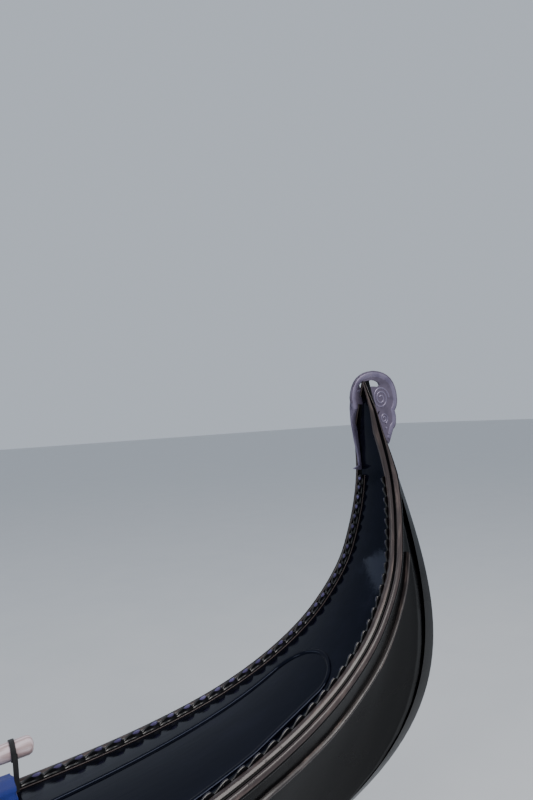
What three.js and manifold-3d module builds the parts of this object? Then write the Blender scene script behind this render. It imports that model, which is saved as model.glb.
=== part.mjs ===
// Gondola: a long, narrow, flat-bottomed rowing boat with a raised horn at the stern
// and a comb-shaped iron at the bow.
// Units are millimetres. +X runs to the bow, +Y to port, +Z up.
// The origin is on the underside of the flat bottom, amidships, in the plane of the two end posts.
import * as THREE from "three";
import { mergeVertices } from "three/addons/utils/BufferGeometryUtils.js";
import Module from "manifold-3d";

const wasm = await Module();
wasm.setup();

// Driving dimensions
const GAP = 0.3; // between pieces that touch
const PLANK = 22; // side planking, measured level
const BOTTOM = 20; // bottom planking
const POST_HALF = 25; // half the width of the posts between the planks
const POST_WING = 46; // half the width of the posts where they cover the planks' ends
const POST_EDGE_HALF = 17; // half the width of a post's outer edge
const POST_DEPTH = 55; // how far a post reaches in between the planks
const DECK = 15; // deck planking
const DECK_CAMBER = 0.035; // crown of a deck, as a share of its width
const AFT_DECK_END = -1900; // the aft deck stops here, at the open cockpit
const FOREDECK_END = 2150; // the foredeck starts here
const RIB = 32; // thickness of a rib, along the boat
const RIB_DEPTH = 34; // depth of a rib, in from the planks
const FLOORBOARD = 18;
const STATION_STEPS = 2; // steps between two rows of the table
const HEIGHT_STEPS = 8; // steps up the side planks and the posts

// Hull table: one row for each station, from the stern's tip to the bow's head.
// sx, sz: upper edge of the side planks. sp, ss: its half-breadths to port and to starboard.
// cx, cz: lower edge of the side planks. cp, cs: its half-breadths.
const HULL = [
  { sx: -5120, sz: 1978, sp: 47, ss: 47, cx: -4800, cz: 590, cp: 47, cs: 47 },
  { sx: -5164, sz: 1654, sp: 92, ss: 82, cx: -4720, cz: 571, cp: 48, cs: 48 },
  { sx: -5120, sz: 1403, sp: 135, ss: 117, cx: -4630, cz: 551, cp: 50, cs: 49 },
  { sx: -4995, sz: 1215, sp: 173, ss: 148, cx: -4520, cz: 525, cp: 53, cs: 51 },
  { sx: -4801, sz: 1080, sp: 207, ss: 175, cx: -4390, cz: 495, cp: 57, cs: 54 },
  { sx: -4550, sz: 987, sp: 239, ss: 201, cx: -4220, cz: 455, cp: 63, cs: 59 },
  { sx: -4255, sz: 929, sp: 274, ss: 230, cx: -4000, cz: 405, cp: 75, cs: 68 },
  { sx: -3924, sz: 892, sp: 316, ss: 264, cx: -3720, cz: 340, cp: 101, cs: 86 },
  { sx: -3563, sz: 858, sp: 373, ss: 311, cx: -3400, cz: 264, cp: 142, cs: 118 },
  { sx: -3172, sz: 808, sp: 448, ss: 372, cx: -3050, cz: 176, cp: 200, cs: 162 },
  { sx: -2700, sz: 748, sp: 550, ss: 442, cx: -2620, cz: 88, cp: 280, cs: 222 },
  { sx: -2000, sz: 692, sp: 690, ss: 522, cx: -2000, cz: 24, cp: 385, cs: 295 },
  { sx: -1200, sz: 665, sp: 785, ss: 570, cx: -1200, cz: 20.3, cp: 485, cs: 352 },
  { sx: -400, sz: 655, sp: 825, ss: 590, cx: -400, cz: 20.3, cp: 545, cs: 388 },
  { sx: 400, sz: 655, sp: 828, ss: 590, cx: 400, cz: 20.3, cp: 548, cs: 390 },
  { sx: 1200, sz: 670, sp: 785, ss: 565, cx: 1200, cz: 20.3, cp: 490, cs: 355 },
  { sx: 2000, sz: 715, sp: 690, ss: 505, cx: 1950, cz: 30, cp: 385, cs: 290 },
  { sx: 2750, sz: 790, sp: 555, ss: 420, cx: 2600, cz: 75, cp: 275, cs: 215 },
  { sx: 3400, sz: 880, sp: 415, ss: 325, cx: 3150, cz: 150, cp: 180, cs: 148 },
  { sx: 4000, sz: 1000, sp: 285, ss: 230, cx: 3650, cz: 240, cp: 110, cs: 95 },
  { sx: 4500, sz: 1150, sp: 180, ss: 152, cx: 4020, cz: 320, cp: 72, cs: 66 },
  { sx: 4850, sz: 1300, sp: 105, ss: 93, cx: 4250, cz: 374, cp: 55, cs: 53 },
  { sx: 5000, sz: 1400, sp: 66, ss: 62, cx: 4370, cz: 404, cp: 49, cs: 48 },
  { sx: 5040, sz: 1450, sp: 47, ss: 47, cx: 4420, cz: 418, cp: 47, cs: 47 },
];
const ROWS = HULL.length - 1;

// End posts, as cubic curves in the centre plane from the bottom to the head.
// plank: where the side planks end. edge: the post's outer edge.
const flat = (x, z) => new THREE.Vector2(x, z);
const cubic = (a, b, c, d) => new THREE.CubicBezierCurve(flat(...a), flat(...b), flat(...c), flat(...d));
const STERN = {
  plank: cubic([-4800, 590], [-5625, 790], [-5290, 1420], [-5120, 1978]),
  edge: cubic([-4861, 572], [-5775, 783], [-5305, 1460], [-5146, 1982]),
};
const BOW = {
  plank: cubic([4420, 418], [5000, 560], [5190, 1040], [5040, 1450]),
  edge: cubic([4462, 400], [5085, 545], [5275, 1040], [5088, 1456]),
};

// Finishes
const finish = (color, roughness, metalness = 0) => new THREE.MeshStandardMaterial({ color, roughness, metalness });
const LACQUER = finish(0x0b0d12, 0.12);
const WORN = finish(0x1d1a1a, 0.35);
const IRON = finish(0x8f8a96, 0.35, 0.9);
const TIMBER = finish(0x8a6a45, 0.55);
const OARWOOD = finish(0xb79a83, 0.5);
const UPHOLSTERY = finish(0x6e1016, 0.8);
const CANVAS = finish(0x1c3fa0, 0.85);
const WEBBING = finish(0x101012, 0.8);

const gondola = new THREE.Group();

function add(name, geometry, material) {
  const mesh = new THREE.Mesh(geometry, material);
  mesh.name = name;
  gondola.add(mesh);
  return mesh;
}

// Solids and booleans

function weld(geometry) {
  const bare = geometry.clone();
  bare.deleteAttribute("normal");
  bare.deleteAttribute("uv");
  return mergeVertices(bare, 1e-4);
}

function toSolid(geometry) {
  const merged = weld(geometry);
  const triVerts = new Uint32Array(merged.index.array);
  return new wasm.Manifold(
    new wasm.Mesh({ numProp: 3, vertProperties: merged.attributes.position.array, triVerts }),
  );
}

const SLIVER = 0.01; // detail smaller than this is smoothed out of a cut solid
function toGeometry(solid) {
  const mesh = solid.asOriginal().simplify(SLIVER).getMesh();
  const geometry = new THREE.BufferGeometry();
  geometry.setAttribute("position", new THREE.BufferAttribute(mesh.vertProperties, 3));
  geometry.setIndex(new THREE.BufferAttribute(mesh.triVerts, 1));
  return geometry;
}

const join = (...geometries) => toGeometry(geometries.map(toSolid).reduce((all, one) => all.add(one)));

const cut = (geometry, ...tools) =>
  toGeometry(tools.map(toSolid).reduce((left, tool) => left.subtract(tool), toSolid(geometry)));

function signedVolume(geometry) {
  const at = geometry.attributes.position;
  const index = geometry.index.array;
  const [a, b, c] = [new THREE.Vector3(), new THREE.Vector3(), new THREE.Vector3()];
  let sum = 0;
  for (let i = 0; i < index.length; i += 3) {
    a.fromBufferAttribute(at, index[i]);
    b.fromBufferAttribute(at, index[i + 1]);
    c.fromBufferAttribute(at, index[i + 2]);
    sum += a.dot(b.cross(c));
  }
  return sum / 6;
}

// A closed body through rings that all have the same number of points.
function loft(rings, closeEnd = capFaces) {
  const count = rings[0].length;
  const positions = rings.flat().flatMap((p) => [p.x, p.y, p.z]);
  const faces = [];
  for (let ring = 0; ring < rings.length - 1; ring++) {
    for (let i = 0; i < count; i++) {
      const a = ring * count + i;
      const b = ring * count + ((i + 1) % count);
      faces.push(a, b, b + count, a, b + count, a + count);
    }
  }
  const last = (rings.length - 1) * count;
  for (const [a, b, c] of closeEnd(rings[0])) faces.push(c, b, a);
  for (const [a, b, c] of closeEnd(rings[rings.length - 1])) faces.push(last + a, last + b, last + c);
  const geometry = new THREE.BufferGeometry();
  geometry.setAttribute("position", new THREE.Float32BufferAttribute(positions, 3));
  geometry.setIndex(faces);
  if (signedVolume(geometry) < 0) geometry.setIndex(faces.reverse());
  return geometry;
}

// Triangles over a nearly flat ring, turning the same way as the ring.
function capFaces(ring) {
  const normal = new THREE.Vector3();
  const centre = ring.reduce((sum, p) => sum.add(p), new THREE.Vector3()).divideScalar(ring.length);
  ring.forEach((p, i) => {
    const next = ring[(i + 1) % ring.length];
    normal.add(p.clone().sub(centre).cross(next.clone().sub(centre)));
  });
  normal.normalize();
  const right = new THREE.Vector3(1, 0, 0);
  if (Math.abs(normal.x) > 0.8) right.set(0, 1, 0);
  right.addScaledVector(normal, -right.dot(normal)).normalize();
  const up = normal.clone().cross(right);
  const outline = ring.map((p) => new THREE.Vector2(p.dot(right), p.dot(up)));
  return THREE.ShapeUtils.triangulateShape(outline, []);
}

// Triangles over a ring that runs out along one curve and back along its neighbour.
function bandFaces(ring) {
  const faces = [];
  const last = ring.length - 1;
  for (let i = 0; i < ring.length / 2 - 1; i++) {
    faces.push([i, i + 1, last - i], [i + 1, last - i - 1, last - i]);
  }
  return faces;
}

function box(x0, x1, y0, y1, z0, z1) {
  const geometry = new THREE.BoxGeometry(x1 - x0, y1 - y0, z1 - z0);
  return geometry.translate((x0 + x1) / 2, (y0 + y1) / 2, (z0 + z1) / 2);
}

// An upright plate in a plane of constant y, from an outline of x and z.
function plate(outline, y0, y1, curveSegments = 6) {
  const geometry = new THREE.ExtrudeGeometry(outline, { depth: y1 - y0, bevelEnabled: false, curveSegments });
  return geometry.rotateX(Math.PI / 2).translate(0, y1, 0);
}

// Hull surfaces

// A smooth value between the table's rows that never swings past them.
function column(key) {
  const values = HULL.map((row) => row[key]);
  const rise = values.slice(1).map((value, i) => value - values[i]);
  const slope = values.map((_, i) => {
    if (i === 0) return rise[0];
    if (i === ROWS) return rise[ROWS - 1];
    const [before, after] = [rise[i - 1], rise[i]];
    return before * after <= 0 ? 0 : (2 * before * after) / (before + after);
  });
  return (t) => {
    const i = Math.min(Math.floor(t), ROWS - 1);
    const f = t - i;
    const [f2, f3] = [f * f, f * f * f];
    return (
      values[i] * (2 * f3 - 3 * f2 + 1) +
      slope[i] * (f3 - 2 * f2 + f) +
      values[i + 1] * (3 * f2 - 2 * f3) +
      slope[i + 1] * (f3 - f2)
    );
  };
}

const at = Object.fromEntries(Object.keys(HULL[0]).map((key) => [key, column(key)]));
const PORT = { sign: 1, sheer: "sp", chine: "cp" };
const STARBOARD = { sign: -1, sheer: "ss", chine: "cs" };

const sheer = (t, side) => new THREE.Vector3(at.sx(t), side.sign * at[side.sheer](t), at.sz(t));
const chine = (t, side) => new THREE.Vector3(at.cx(t), side.sign * at[side.chine](t), at.cz(t));

// Directions at the upper edge: outboard, and up out of the deck.
function edgeFrame(t, side) {
  const step = 0.02;
  const ahead = sheer(Math.min(t + step, ROWS), side);
  const behind = sheer(Math.max(t - step, 0), side);
  const along = ahead.sub(behind).normalize();
  const out = new THREE.Vector3(0, side.sign, 0);
  out.addScaledVector(along, -out.dot(along)).normalize();
  const up = out.clone().cross(along).multiplyScalar(-side.sign);
  return { along, out, up };
}

// The planks' outer face: v is 0 at the lower edge and 1 at the upper one.
// Near the ends it bends to the posts' curves.
const END_ROWS = 5;
const BULGE = 0.02;
function skin(t, v, side) {
  const point = chine(t, side).lerp(sheer(t, side), v);
  const width = sheer(t, side).distanceTo(chine(t, side));
  point.y += side.sign * BULGE * width * Math.sin(Math.PI * v) * fade(t);
  for (const [post, rows] of [
    [STERN, t],
    [BOW, ROWS - t],
  ]) {
    if (rows >= END_ROWS) continue;
    const end = post === STERN ? 0 : ROWS;
    const straight = chine(end, side).lerp(sheer(end, side), v);
    const curved = post.plank.getPoint(v);
    const share = (1 - rows / END_ROWS) ** 2;
    point.x += share * (curved.x - straight.x);
    point.z += share * (curved.y - straight.z);
  }
  return point;
}

// Grows from nothing at the two ends of the boat to 1.
function fade(t) {
  const rows = Math.min(t, ROWS - t);
  return Math.min(1, rows / END_ROWS);
}

const stations = (from = 0, to = ROWS) => {
  const count = Math.max(2, Math.round((to - from) * STATION_STEPS));
  return Array.from({ length: count + 1 }, (_, i) => from + ((to - from) * i) / count);
};

// The table's position where the skin at height share v crosses the plane x.
function rowAt(x, v, side = PORT) {
  let [low, high] = [1.2, ROWS - 0.6];
  for (let i = 0; i < 40; i++) {
    const middle = (low + high) / 2;
    if (skin(middle, v, side).x < x) low = middle;
    else high = middle;
  }
  return (low + high) / 2;
}

const skinAt = (x, v, side) => skin(rowAt(x, v, side), v, side);

// Inner face of the planks at x and height z.
function innerBreadth(x, z, side) {
  let [low, high] = [0, 1];
  for (let i = 0; i < 30; i++) {
    const middle = (low + high) / 2;
    if (skinAt(x, middle, side).z < z) low = middle;
    else high = middle;
  }
  return Math.abs(skinAt(x, low, side).y) - PLANK;
}

const HEIGHTS = Array.from({ length: HEIGHT_STEPS + 1 }, (_, i) => i / HEIGHT_STEPS);

function sidePlanks(side, grow = 0) {
  return loft(
    stations().map((t) => {
      const aside = (p, out) => new THREE.Vector3(p.x, p.y + side.sign * out, p.z);
      const face = HEIGHTS.map((v) => skin(t, v, side));
      face[HEIGHT_STEPS].addScaledVector(edgeFrame(t, side).up, grow);
      const outer = face.map((p) => aside(p, grow));
      const inner = face.map((p) => aside(p, -PLANK - grow));
      return [...outer, ...inner.reverse()];
    }),
    bandFaces,
  );
}

function bottomPlanks(grow = 0) {
  return loft(
    stations().map((t) => {
      const [port, starboard] = [chine(t, PORT), chine(t, STARBOARD)];
      const down = (p, drop) => new THREE.Vector3(p.x, p.y, p.z - drop);
      return [
        down(starboard, GAP - grow),
        down(port, GAP - grow),
        down(port, GAP + BOTTOM),
        down(starboard, GAP + BOTTOM),
      ];
    }),
  );
}

const HEAD_FROM = 0.7; // above this share of its height a post narrows to its head

// A post: a tongue between the planks, and a tapered edge outside them.
function post(ends, grow = 0, half = POST_HALF - GAP + grow) {
  const rings = HEIGHTS.map((v) => {
    const plankEnd = ends.plank.getPoint(v);
    const rawEdge = ends.edge.getPoint(v);
    const inward = plankEnd.clone().sub(rawEdge).normalize();
    const edge = rawEdge.addScaledVector(inward, -grow);
    const shoulder = plankEnd.clone().addScaledVector(inward, -GAP);
    const depth = v < HEAD_FROM ? POST_DEPTH : 3 + ((POST_DEPTH - 3) * (1 - v)) / (1 - HEAD_FROM);
    const tongue = plankEnd.clone().addScaledVector(inward, depth + grow);
    const wing = POST_WING + grow;
    const along = ends.edge.getTangent(v).multiplyScalar(v === 0 ? -grow : v === 1 ? grow : 0);
    for (const p of [edge, shoulder, tongue]) p.add(along);
    const at3 = (p, y) => new THREE.Vector3(p.x, y, p.y);
    return [
      at3(edge, POST_EDGE_HALF + grow),
      at3(shoulder, wing),
      at3(shoulder, half),
      at3(tongue, half),
      at3(tongue, -half),
      at3(shoulder, -half),
      at3(shoulder, -wing),
      at3(edge, -POST_EDGE_HALF - grow),
    ];
  });
  return loft(rings);
}

// Trims a piece to stand one gap inside the planks.
const SHELL = [sidePlanks(PORT, GAP), sidePlanks(STARBOARD, GAP), bottomPlanks(GAP)];
const fitInside = (geometry, ...tools) => cut(geometry, ...SHELL, ...tools);

add("bottom", bottomPlanks(), LACQUER);
add("side_port", sidePlanks(PORT), LACQUER);
add("side_starboard", sidePlanks(STARBOARD), LACQUER);
add("sternpost", post(STERN), LACQUER);
add("stem", post(BOW), LACQUER);

// Decks

const DECK_LEDGE = 20; // flat border of a deck, under the gunwale
const DECK_DROP = 1; // the decks lie this far under the planks' upper edges
const DECK_BEVEL = 10; // the deck's lower corners, pulled in from the sloping planks
function deck(from, to, lift = 0) {
  return loft(
    stations(from, to).map((t) => {
      const edges = [STARBOARD, PORT].map((side) => {
        const { out, up } = edgeFrame(t, side);
        const rim = sheer(t, side).addScaledVector(out, -PLANK - 1).addScaledVector(up, -DECK_DROP);
        const room = at[side.sheer](t) - PLANK;
        const ledge = rim.clone().addScaledVector(out, -Math.min(DECK_LEDGE, room * 0.4));
        return { rim, ledge, out, up };
      });
      const [left, right] = edges;
      const width = left.ledge.distanceTo(right.ledge);
      const up = left.up.clone().add(right.up).normalize();
      const crown = [0.25, 0.5, 0.75].map((share) =>
        left.ledge
          .clone()
          .lerp(right.ledge, share)
          .addScaledVector(up, width * DECK_CAMBER * 4 * share * (1 - share)),
      );
      const top = [left.rim, left.ledge, ...crown, right.ledge, right.rim];
      const under = [right, left].map((edge) =>
        edge.rim.clone().addScaledVector(edge.out, -DECK_BEVEL).addScaledVector(up, -DECK),
      );
      const ring = [...top, ...under];
      return lift ? ring.map((p) => p.clone().addScaledVector(up, lift)) : ring;
    }),
  );
}

const FAR = 6000; // past either end of the boat
const DECK_REACH = 90; // half-breadth over which a deck stops short of a post's inner face
const aftDeck = (lift = 0) => cut(deck(0, 12.5, lift), box(AFT_DECK_END, FAR, -FAR, FAR, -FAR, FAR));
const foredeck = (lift = 0) => cut(deck(16, ROWS, lift), box(-FAR, FOREDECK_END, -FAR, FAR, -FAR, FAR));
add("aft_deck", fitInside(aftDeck(), post(STERN, GAP, DECK_REACH)), LACQUER);
add("foredeck", fitInside(foredeck(), post(BOW, GAP, DECK_REACH)), LACQUER);

// Height of a deck's upper face over the point x, y.
function deckHeight(x, y) {
  const t = rowAt(x, 1);
  const before = Math.floor(t * STATION_STEPS) / STATION_STEPS;
  const after = before + 1 / STATION_STEPS;
  const share = (x - at.sx(before)) / (at.sx(after) - at.sx(before));
  const level = (key) => at[key](before) * (1 - share) + at[key](after) * share;
  const [left, right] = [PLANK + DECK_LEDGE - level("ss"), level("sp") - PLANK - DECK_LEDGE];
  const across = Math.min(1, Math.max(0, (y - left) / (right - left)));
  return level("sz") - DECK_DROP + (right - left) * DECK_CAMBER * 4 * across * (1 - across);
}

// Mouldings

// Cap along the upper edge: a bead on the planks' edge, a groove, and a bead on their outer face.
// out and up from the planks' outer corner.
const CAP_FACE = 2.5; // the cap's inner face, from the planks' outer face
const CAP_SECTION = [
  [-26, GAP],
  [-26, 8],
  [-20, 14],
  [-10, 15],
  [-3, 8],
  [1, 3],
  [6, 5],
  [12, 4],
  [16, -4],
  [16, -14],
  [10, -22],
  [CAP_FACE, -22],
  [CAP_FACE, GAP],
];
// Size of the cap's upper bead and of its outer bead, as shares, by rows from the end of the boat.
const CAP_SHARES = {
  port: [
    { rows: 0, upper: 0.5, outer: 0.1 },
    { rows: 0.5, upper: 1.3, outer: 0.12 },
    { rows: 1, upper: 1, outer: 0.9 },
    { rows: 1.5, upper: 1, outer: 1 },
  ],
  starboard: [
    { rows: 0, upper: 0.3, outer: 0.1 },
    { rows: 2, upper: 0.45, outer: 0.3 },
    { rows: 5, upper: 1, outer: 1 },
  ],
};
// Thin half-round rail along the sides. out is from its raw foot, up along the planks.
const RAIL_SECTION = [
  [0, -9],
  [13, -7],
  [16, 0],
  [13, 7],
  [0, 9],
];
const RAIL_SUNK = 3; // how far the raw rail reaches into the planks before it is trimmed
const RAIL_ROWS = { stern: 0.5, bow: 4 }; // rows from an end of the boat to the thin rail's end
// From the upper edge down to the thin rail, by place in the hull table.
const RAIL_DROPS = [
  { t: 0.5, drop: 385 },
  { t: 2, drop: 325 },
  { t: 3.5, drop: 250 },
  { t: 4.75, drop: 165 },
  { t: 6.5, drop: 102 },
  { t: 8, drop: 95 },
];

const fromEnd = (t) => Math.min(t, ROWS - t);

// A straight blend between a short table's rows; key names the column that holds the place.
function blend(table, key, place, value) {
  const next = table.findIndex((row) => row[key] > place);
  if (next < 0) return table[table.length - 1][value];
  const [low, high] = [table[Math.max(0, next - 1)], table[next]];
  const share = next === 0 ? 0 : (place - low[key]) / (high[key] - low[key]);
  return low[value] * (1 - share) + high[value] * share;
}

function capSection(t, side) {
  const table = side === PORT ? CAP_SHARES.port : CAP_SHARES.starboard;
  const [upper, outer] = ["upper", "outer"].map((value) => blend(table, "rows", fromEnd(t), value));
  return CAP_SECTION.map(([o, u]) => {
    const share = o < 0 ? upper : outer;
    const width = o < 0 ? o * upper : CAP_FACE + (o - CAP_FACE) * outer;
    return [width, u < 0 ? u * share : GAP + (u - GAP) * share];
  });
}

function cap(side) {
  return loft(
    stations().map((t) => {
      const { out, up } = edgeFrame(t, side);
      return capSection(t, side).map(([o, u]) => sheer(t, side).addScaledVector(out, o).addScaledVector(up, u));
    }),
  );
}

function rail(side) {
  return loft(
    stations(RAIL_ROWS.stern, ROWS - RAIL_ROWS.bow).map((t) => {
      const height = sheer(t, side).distanceTo(chine(t, side));
      const v = 1 - blend(RAIL_DROPS, "t", t, "drop") / height;
      const point = skin(t, v, side);
      const above = skin(t, v + 0.02, side).sub(point).normalize();
      const ahead = skin(t + 0.02, v, side).sub(skin(t - 0.02, v, side)).normalize();
      const out = above.clone().cross(ahead).normalize();
      if (out.y * side.sign < 0) out.negate();
      return RAIL_SECTION.map(([o, u]) =>
        point.clone().addScaledVector(out, o - RAIL_SUNK).addScaledVector(above, u),
      );
    }),
  );
}

const POSTS = [post(STERN, GAP), post(BOW, GAP)];
const gunwale = (side) => cut(cap(side), sidePlanks(side, GAP), aftDeck(GAP), foredeck(GAP), ...POSTS);
add("gunwale_port", gunwale(PORT), WORN);
add("gunwale_starboard", gunwale(STARBOARD), WORN);
add("side_rail_port", cut(rail(PORT), sidePlanks(PORT, GAP)), WORN);
add("side_rail_starboard", cut(rail(STARBOARD), sidePlanks(STARBOARD, GAP)), WORN);

// Carved board on each deck's edge, just inboard of the cap, as its plain strip.
const TRIM = { outer: -26.6, inner: -36, height: 20, foot: -3, aft: [1, 11], fore: [16.5, ROWS - 2] };
function trimBoard(side, [from, to]) {
  const section = [
    [TRIM.inner, TRIM.foot],
    [TRIM.outer, TRIM.foot],
    [TRIM.outer, TRIM.height],
    [TRIM.inner + 2, TRIM.height],
  ];
  const raw = loft(
    stations(from, to).map((t) => {
      const { out, up } = edgeFrame(t, side);
      return section.map(([o, u]) => sheer(t, side).addScaledVector(out, o).addScaledVector(up, u));
    }),
  );
  return cut(raw, aftDeck(GAP), foredeck(GAP), sidePlanks(side, GAP), ...POSTS);
}
for (const [name, side] of Object.entries({ port: PORT, starboard: STARBOARD })) {
  add("aft_trim_" + name, trimBoard(side, TRIM.aft), WORN);
  add("fore_trim_" + name, trimBoard(side, TRIM.fore), WORN);
}

// Raised bead on the aft deck: a round end towards the stern and two long legs.
// The port leg runs along the deck's edge, inset from it.
const BEAD = { y: 40, half: 108, end: -4745, front: -2100, inset: 66, width: 14, height: 7, turns: 10 };
function deckBead() {
  const centreLine = [];
  centreLine.push([BEAD.front, BEAD.y - BEAD.half]);
  for (let x = -2400; x > BEAD.end; x -= 300) centreLine.push([x, BEAD.y - BEAD.half]);
  for (let i = 0; i <= BEAD.turns; i++) {
    const angle = -Math.PI / 2 - (Math.PI * i) / BEAD.turns;
    centreLine.push([BEAD.end + BEAD.half * Math.cos(angle), BEAD.y + BEAD.half * Math.sin(angle)]);
  }
  const portLeg = (x) => at.sp(rowAt(x, 1)) - BEAD.inset;
  for (let x = -4500; x <= -2400; x += 300) centreLine.push([x, portLeg(x)]);
  centreLine.push([BEAD.front, portLeg(BEAD.front)]);
  const rings = centreLine.map(([x, y], i) => {
    const before = centreLine[Math.max(0, i - 1)];
    const after = centreLine[Math.min(centreLine.length - 1, i + 1)];
    const along = new THREE.Vector2(after[0] - before[0], after[1] - before[1]).normalize();
    const across = (o, lift) => {
      const [px, py] = [x - along.y * o, y + along.x * o];
      return new THREE.Vector3(px, py, deckHeight(px, py) + lift);
    };
    const half = BEAD.width / 2;
    return [across(-half, -4), across(-half * 0.6, BEAD.height), across(half * 0.6, BEAD.height), across(half, -4)];
  });
  return cut(loft(rings), aftDeck(GAP));
}
add("deck_bead", deckBead(), LACQUER);

// Inside of the cockpit

const RIBS = { first: -1700, pitch: 360, count: 11 };
const RIB_TOP_DROP = 45; // ribs stop this far under the planks' upper edge
const FLOOR_TIMBER_TOP = 80;
const SUNK = 8; // how far a raw outline reaches into the planks before it is trimmed
const floorZ = (x) => at.cz(rowAt(x, 0)) - SUNK;

const ribStations = Array.from({ length: RIBS.count }, (_, i) => RIBS.first + i * RIBS.pitch);
const RIBS_END = RIBS.first + (RIBS.count - 1) * RIBS.pitch;

// Timbers across the bottom, joined by a low keelson.
function floorTimbers() {
  const ring = (x) => {
    const edge = (side, z) => side.sign * (innerBreadth(x, z, side) - RIB_DEPTH - GAP);
    return [
      new THREE.Vector3(x, edge(STARBOARD, FLOOR_TIMBER_TOP), floorZ(x)),
      new THREE.Vector3(x, edge(PORT, FLOOR_TIMBER_TOP), floorZ(x)),
      new THREE.Vector3(x, edge(PORT, FLOOR_TIMBER_TOP), FLOOR_TIMBER_TOP),
      new THREE.Vector3(x, edge(STARBOARD, FLOOR_TIMBER_TOP), FLOOR_TIMBER_TOP),
    ];
  };
  const timbers = ribStations.map((x) => loft([ring(x - RIB / 2), ring(x + RIB / 2)]));
  const keelson = box(RIBS.first - RIB / 2, RIBS_END + RIB / 2, -45, 45, 10, FLOOR_TIMBER_TOP - 4);
  return fitInside(join(keelson, ...timbers));
}
add("floor_timbers", floorTimbers(), TIMBER);

// Side timbers, joined near their heads by a stringer.
const STRINGER = { drop: 90, height: 46, depth: 20, steps: 14 };
function ribs(side) {
  const ring = (x) => {
    const levels = [floorZ(x), 180, 330, 480, at.sz(rowAt(x, 1)) - RIB_TOP_DROP];
    const outer = levels.map((z) => new THREE.Vector3(x, side.sign * (innerBreadth(x, z, side) + SUNK), z));
    const inner = [FLOOR_TIMBER_TOP, ...levels.slice(1)].map((z, i) => {
      const breadth = innerBreadth(x, z, side) - RIB_DEPTH;
      return new THREE.Vector3(x, side.sign * breadth, i === 0 ? levels[0] : z);
    });
    return [...outer, ...inner.reverse()];
  };
  const timbers = ribStations.map((x) => loft([ring(x - RIB / 2), ring(x + RIB / 2)]));
  const stringerRing = (x) => {
    const high = at.sz(rowAt(x, 1)) - STRINGER.drop;
    const low = high - STRINGER.height;
    const breadth = (z, depth) => side.sign * (innerBreadth(x, z, side) - depth);
    return [
      new THREE.Vector3(x, breadth(high, RIB_DEPTH - 6), high),
      new THREE.Vector3(x, breadth(high, RIB_DEPTH + STRINGER.depth), high),
      new THREE.Vector3(x, breadth(low, RIB_DEPTH + STRINGER.depth), low),
      new THREE.Vector3(x, breadth(low, RIB_DEPTH - 6), low),
    ];
  };
  const span = RIBS_END - RIBS.first + RIB;
  const stringer = loft(
    Array.from({ length: STRINGER.steps + 1 }, (_, i) =>
      stringerRing(RIBS.first - RIB / 2 + (span * i) / STRINGER.steps),
    ),
  );
  return fitInside(join(stringer, ...timbers));
}
add("ribs_port", ribs(PORT), TIMBER);
add("ribs_starboard", ribs(STARBOARD), TIMBER);

const FLOOR = { from: -1716, to: 1916, z: FLOOR_TIMBER_TOP + GAP };
function floorboards() {
  const rings = [];
  const count = 12;
  for (let i = 0; i <= count; i++) {
    const x = FLOOR.from + ((FLOOR.to - FLOOR.from) * i) / count;
    const breadth = (side) => innerBreadth(x, FLOOR.z, side) - RIB_DEPTH - 6;
    const [port, starboard] = [breadth(PORT), -breadth(STARBOARD)];
    rings.push([
      new THREE.Vector3(x, starboard, FLOOR.z),
      new THREE.Vector3(x, port, FLOOR.z),
      new THREE.Vector3(x, port, FLOOR.z + FLOORBOARD),
      new THREE.Vector3(x, starboard, FLOOR.z + FLOORBOARD),
    ]);
  }
  return loft(rings);
}
add("floorboards", floorboards(), TIMBER);
const FLOOR_TOP = FLOOR.z + FLOORBOARD;

// Bulkheads, each with a low door that swings out into the cockpit.
const BULKHEAD = 18;
const DOOR = { y: 40, width: 300, low: 150, high: 470, hingeGap: 5, farGap: 8, sillGap: 5, pin: 5, standoff: 10 };

function bulkheadRing(x) {
  const t = rowAt(x, 1);
  const top = at.sz(t) - DECK - 4;
  const levels = [floorZ(x), 200, 350, 500, top];
  const wall = (side) =>
    levels.map((z, i) => {
      const sunk = i === levels.length - 1 ? -8 : SUNK;
      return new THREE.Vector3(x, side.sign * (innerBreadth(x, z, side) + sunk), z);
    });
  const crown = [0.25, 0, -0.25].map((share) => {
    const y = (share > 0 ? at.sp(t) : at.ss(t)) * share * 2;
    return new THREE.Vector3(x, y, deckHeight(x, y) - DECK - 4);
  });
  return [...wall(PORT), ...crown, ...wall(STARBOARD).reverse()];
}

// facing is +1 where the door opens towards the bow, -1 towards the stern.
const HINGES = [0.2, 0.8].map((share) => DOOR.low + (DOOR.high - DOOR.low) * share);
const KNUCKLE = 22; // height of each of a hinge's three knuckles
const pinAt = (x, facing) => x + facing * (BULKHEAD + DOOR.standoff);
const span = (a, b) => [Math.min(a, b), Math.max(a, b)];

// One knuckle and the leaf that carries it. towards is +1 on the door's side of the pin.
function knuckle(x, facing, z, height, towards) {
  const low = DOOR.y - DOOR.width / 2;
  const front = x + facing * BULKHEAD;
  const pinX = pinAt(x, facing);
  const barrel = new THREE.CylinderGeometry(DOOR.pin, DOOR.pin, height, 12)
    .rotateX(Math.PI / 2)
    .translate(pinX, low, z);
  const [x0, x1] = span(front - facing, pinX + facing * 3);
  const [y0, y1] = span(low + towards * (towards > 0 ? 5 : 1), low + towards * 46);
  const leaf = box(x0, x1, y0, y1, z - height / 2, z + height / 2);
  const [a0, a1] = span(pinX - facing * 3, pinX + facing * 3);
  const [b0, b1] = span(low, low + towards * 8);
  return join(barrel, leaf, box(a0, a1, b0, b1, z - height / 2, z + height / 2));
}

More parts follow.
